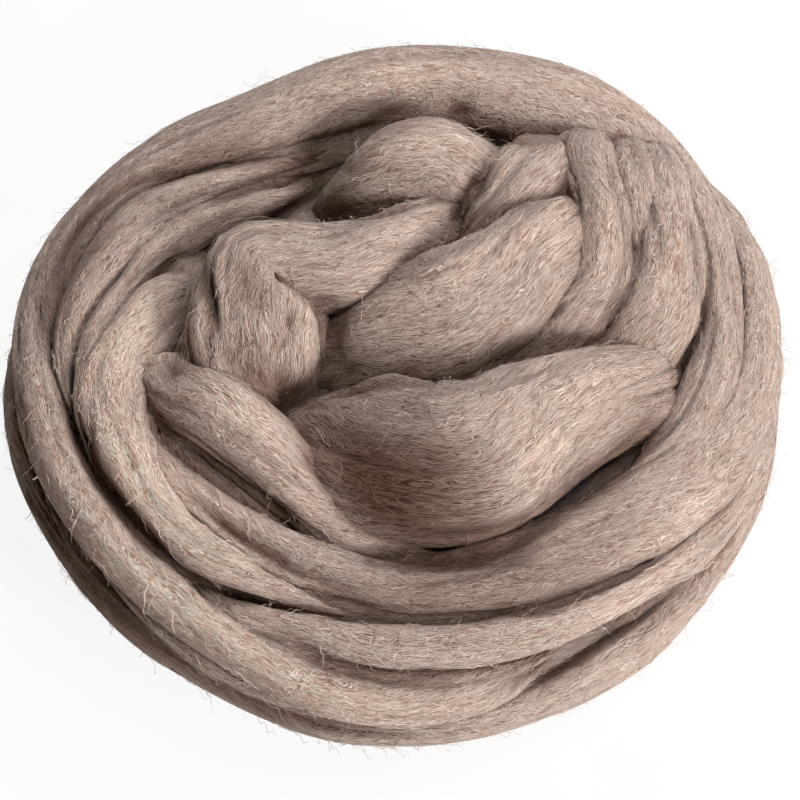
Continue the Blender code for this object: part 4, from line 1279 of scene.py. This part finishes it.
# the studio: lamps by their bearing from +X and their height above the floor in degrees
studio = {
    "floorSide": 6.0,
    "floorParts": 8,
    "floorColour": (0.97, 0.97, 0.967, 1),
    "floorGlow": 1.04,  # of its own, so that it stays white and throws little light back
    "floorShade": 0.10,
    "floorRough": 0.9,
    "grain": {"Scale": 300, "Detail": 2},
    "grainShade": 0.98,
    "lamps": {
        "keyLight": {"bearing": -42, "height": 25, "side": 0.35, "power": 17, "colour": (1.0, 0.985, 0.965)},
        "backLight": {"bearing": 75, "height": 36, "side": 0.45, "power": 9, "colour": (0.99, 0.99, 1.0)},
        "topLight": {"bearing": 5, "height": 66, "side": 0.5, "power": 6.5, "colour": (1.0, 1.0, 1.0)},
    },
    "lampsAway": 1.3,
    "sky": {"colour": (1.0, 0.66, 0.50, 1), "strength": 0.06},
}


def layFloor():
    parts = studio["floorParts"]
    bpy.ops.mesh.primitive_grid_add(x_subdivisions=parts, y_subdivisions=parts, size=studio["floorSide"])
    floor = bpy.context.object
    floor.name = "studioFloor"
    material = bpy.data.materials.new("paleFloor")
    material.use_nodes = True
    tree = material.node_tree
    shader = tree.nodes["Principled BSDF"]
    shader.inputs["Roughness"].default_value = studio["floorRough"]
    pale = studio["floorColour"]
    darker = [studio["grainShade"] * part for part in pale[:3]] + [1]
    grain = addNode(tree, "ShaderNodeTexNoise", -600, 0, None, studio["grain"]).outputs["Fac"]
    colour = mixed(tree, -300, 0, grain, pale, darker)
    values = {"Strength": studio["floorGlow"], "Color": colour}
    glow = addNode(tree, "ShaderNodeEmission", 0, -400, None, values)
    seen = addNode(tree, "ShaderNodeLightPath", 0, 400).outputs["Is Camera Ray"]
    whiten = addNode(tree, "ShaderNodeMixShader", 600, -200)
    setInput(tree, shader.inputs["Base Color"], colour)
    setInput(tree, whiten.inputs["Fac"], maths(tree, "MULTIPLY", 300, 300, seen, 1 - studio["floorShade"]))
    setInput(tree, whiten.inputs[1], shader.outputs["BSDF"])
    setInput(tree, whiten.inputs[2], glow.outputs["Emission"])
    setInput(tree, tree.nodes["Material Output"].inputs["Surface"], whiten.outputs["Shader"])
    floor.data.materials.append(material)


def addArea(name, lamp):
    light = bpy.data.lights.new(name, "AREA")
    light.size = lamp["side"]
    light.energy = lamp["power"]
    light.color = lamp["colour"]
    holder = bpy.data.objects.new(name, light)
    bearing, height = math.radians(lamp["bearing"]), math.radians(lamp["height"])
    level = math.cos(height)
    away = Vector((level * math.cos(bearing), level * math.sin(bearing), math.sin(height)))
    holder.location = Vector(view["target"]) + away * studio["lampsAway"]
    holder.rotation_euler = (-away).to_track_quat("-Z", "Y").to_euler()
    bpy.context.scene.collection.objects.link(holder)


def lightSky():
    world = bpy.data.worlds.new("studioSky")
    world.use_nodes = True
    backdrop = world.node_tree.nodes["Background"]
    backdrop.inputs["Color"].default_value = studio["sky"]["colour"]
    backdrop.inputs["Strength"].default_value = studio["sky"]["strength"]
    bpy.context.scene.world = world


layFloor()
for name, lamp in studio["lamps"].items():
    addArea(name, lamp)
lightSky()
bpy.context.scene.view_settings.view_transform = "Standard"
print("studio lit")
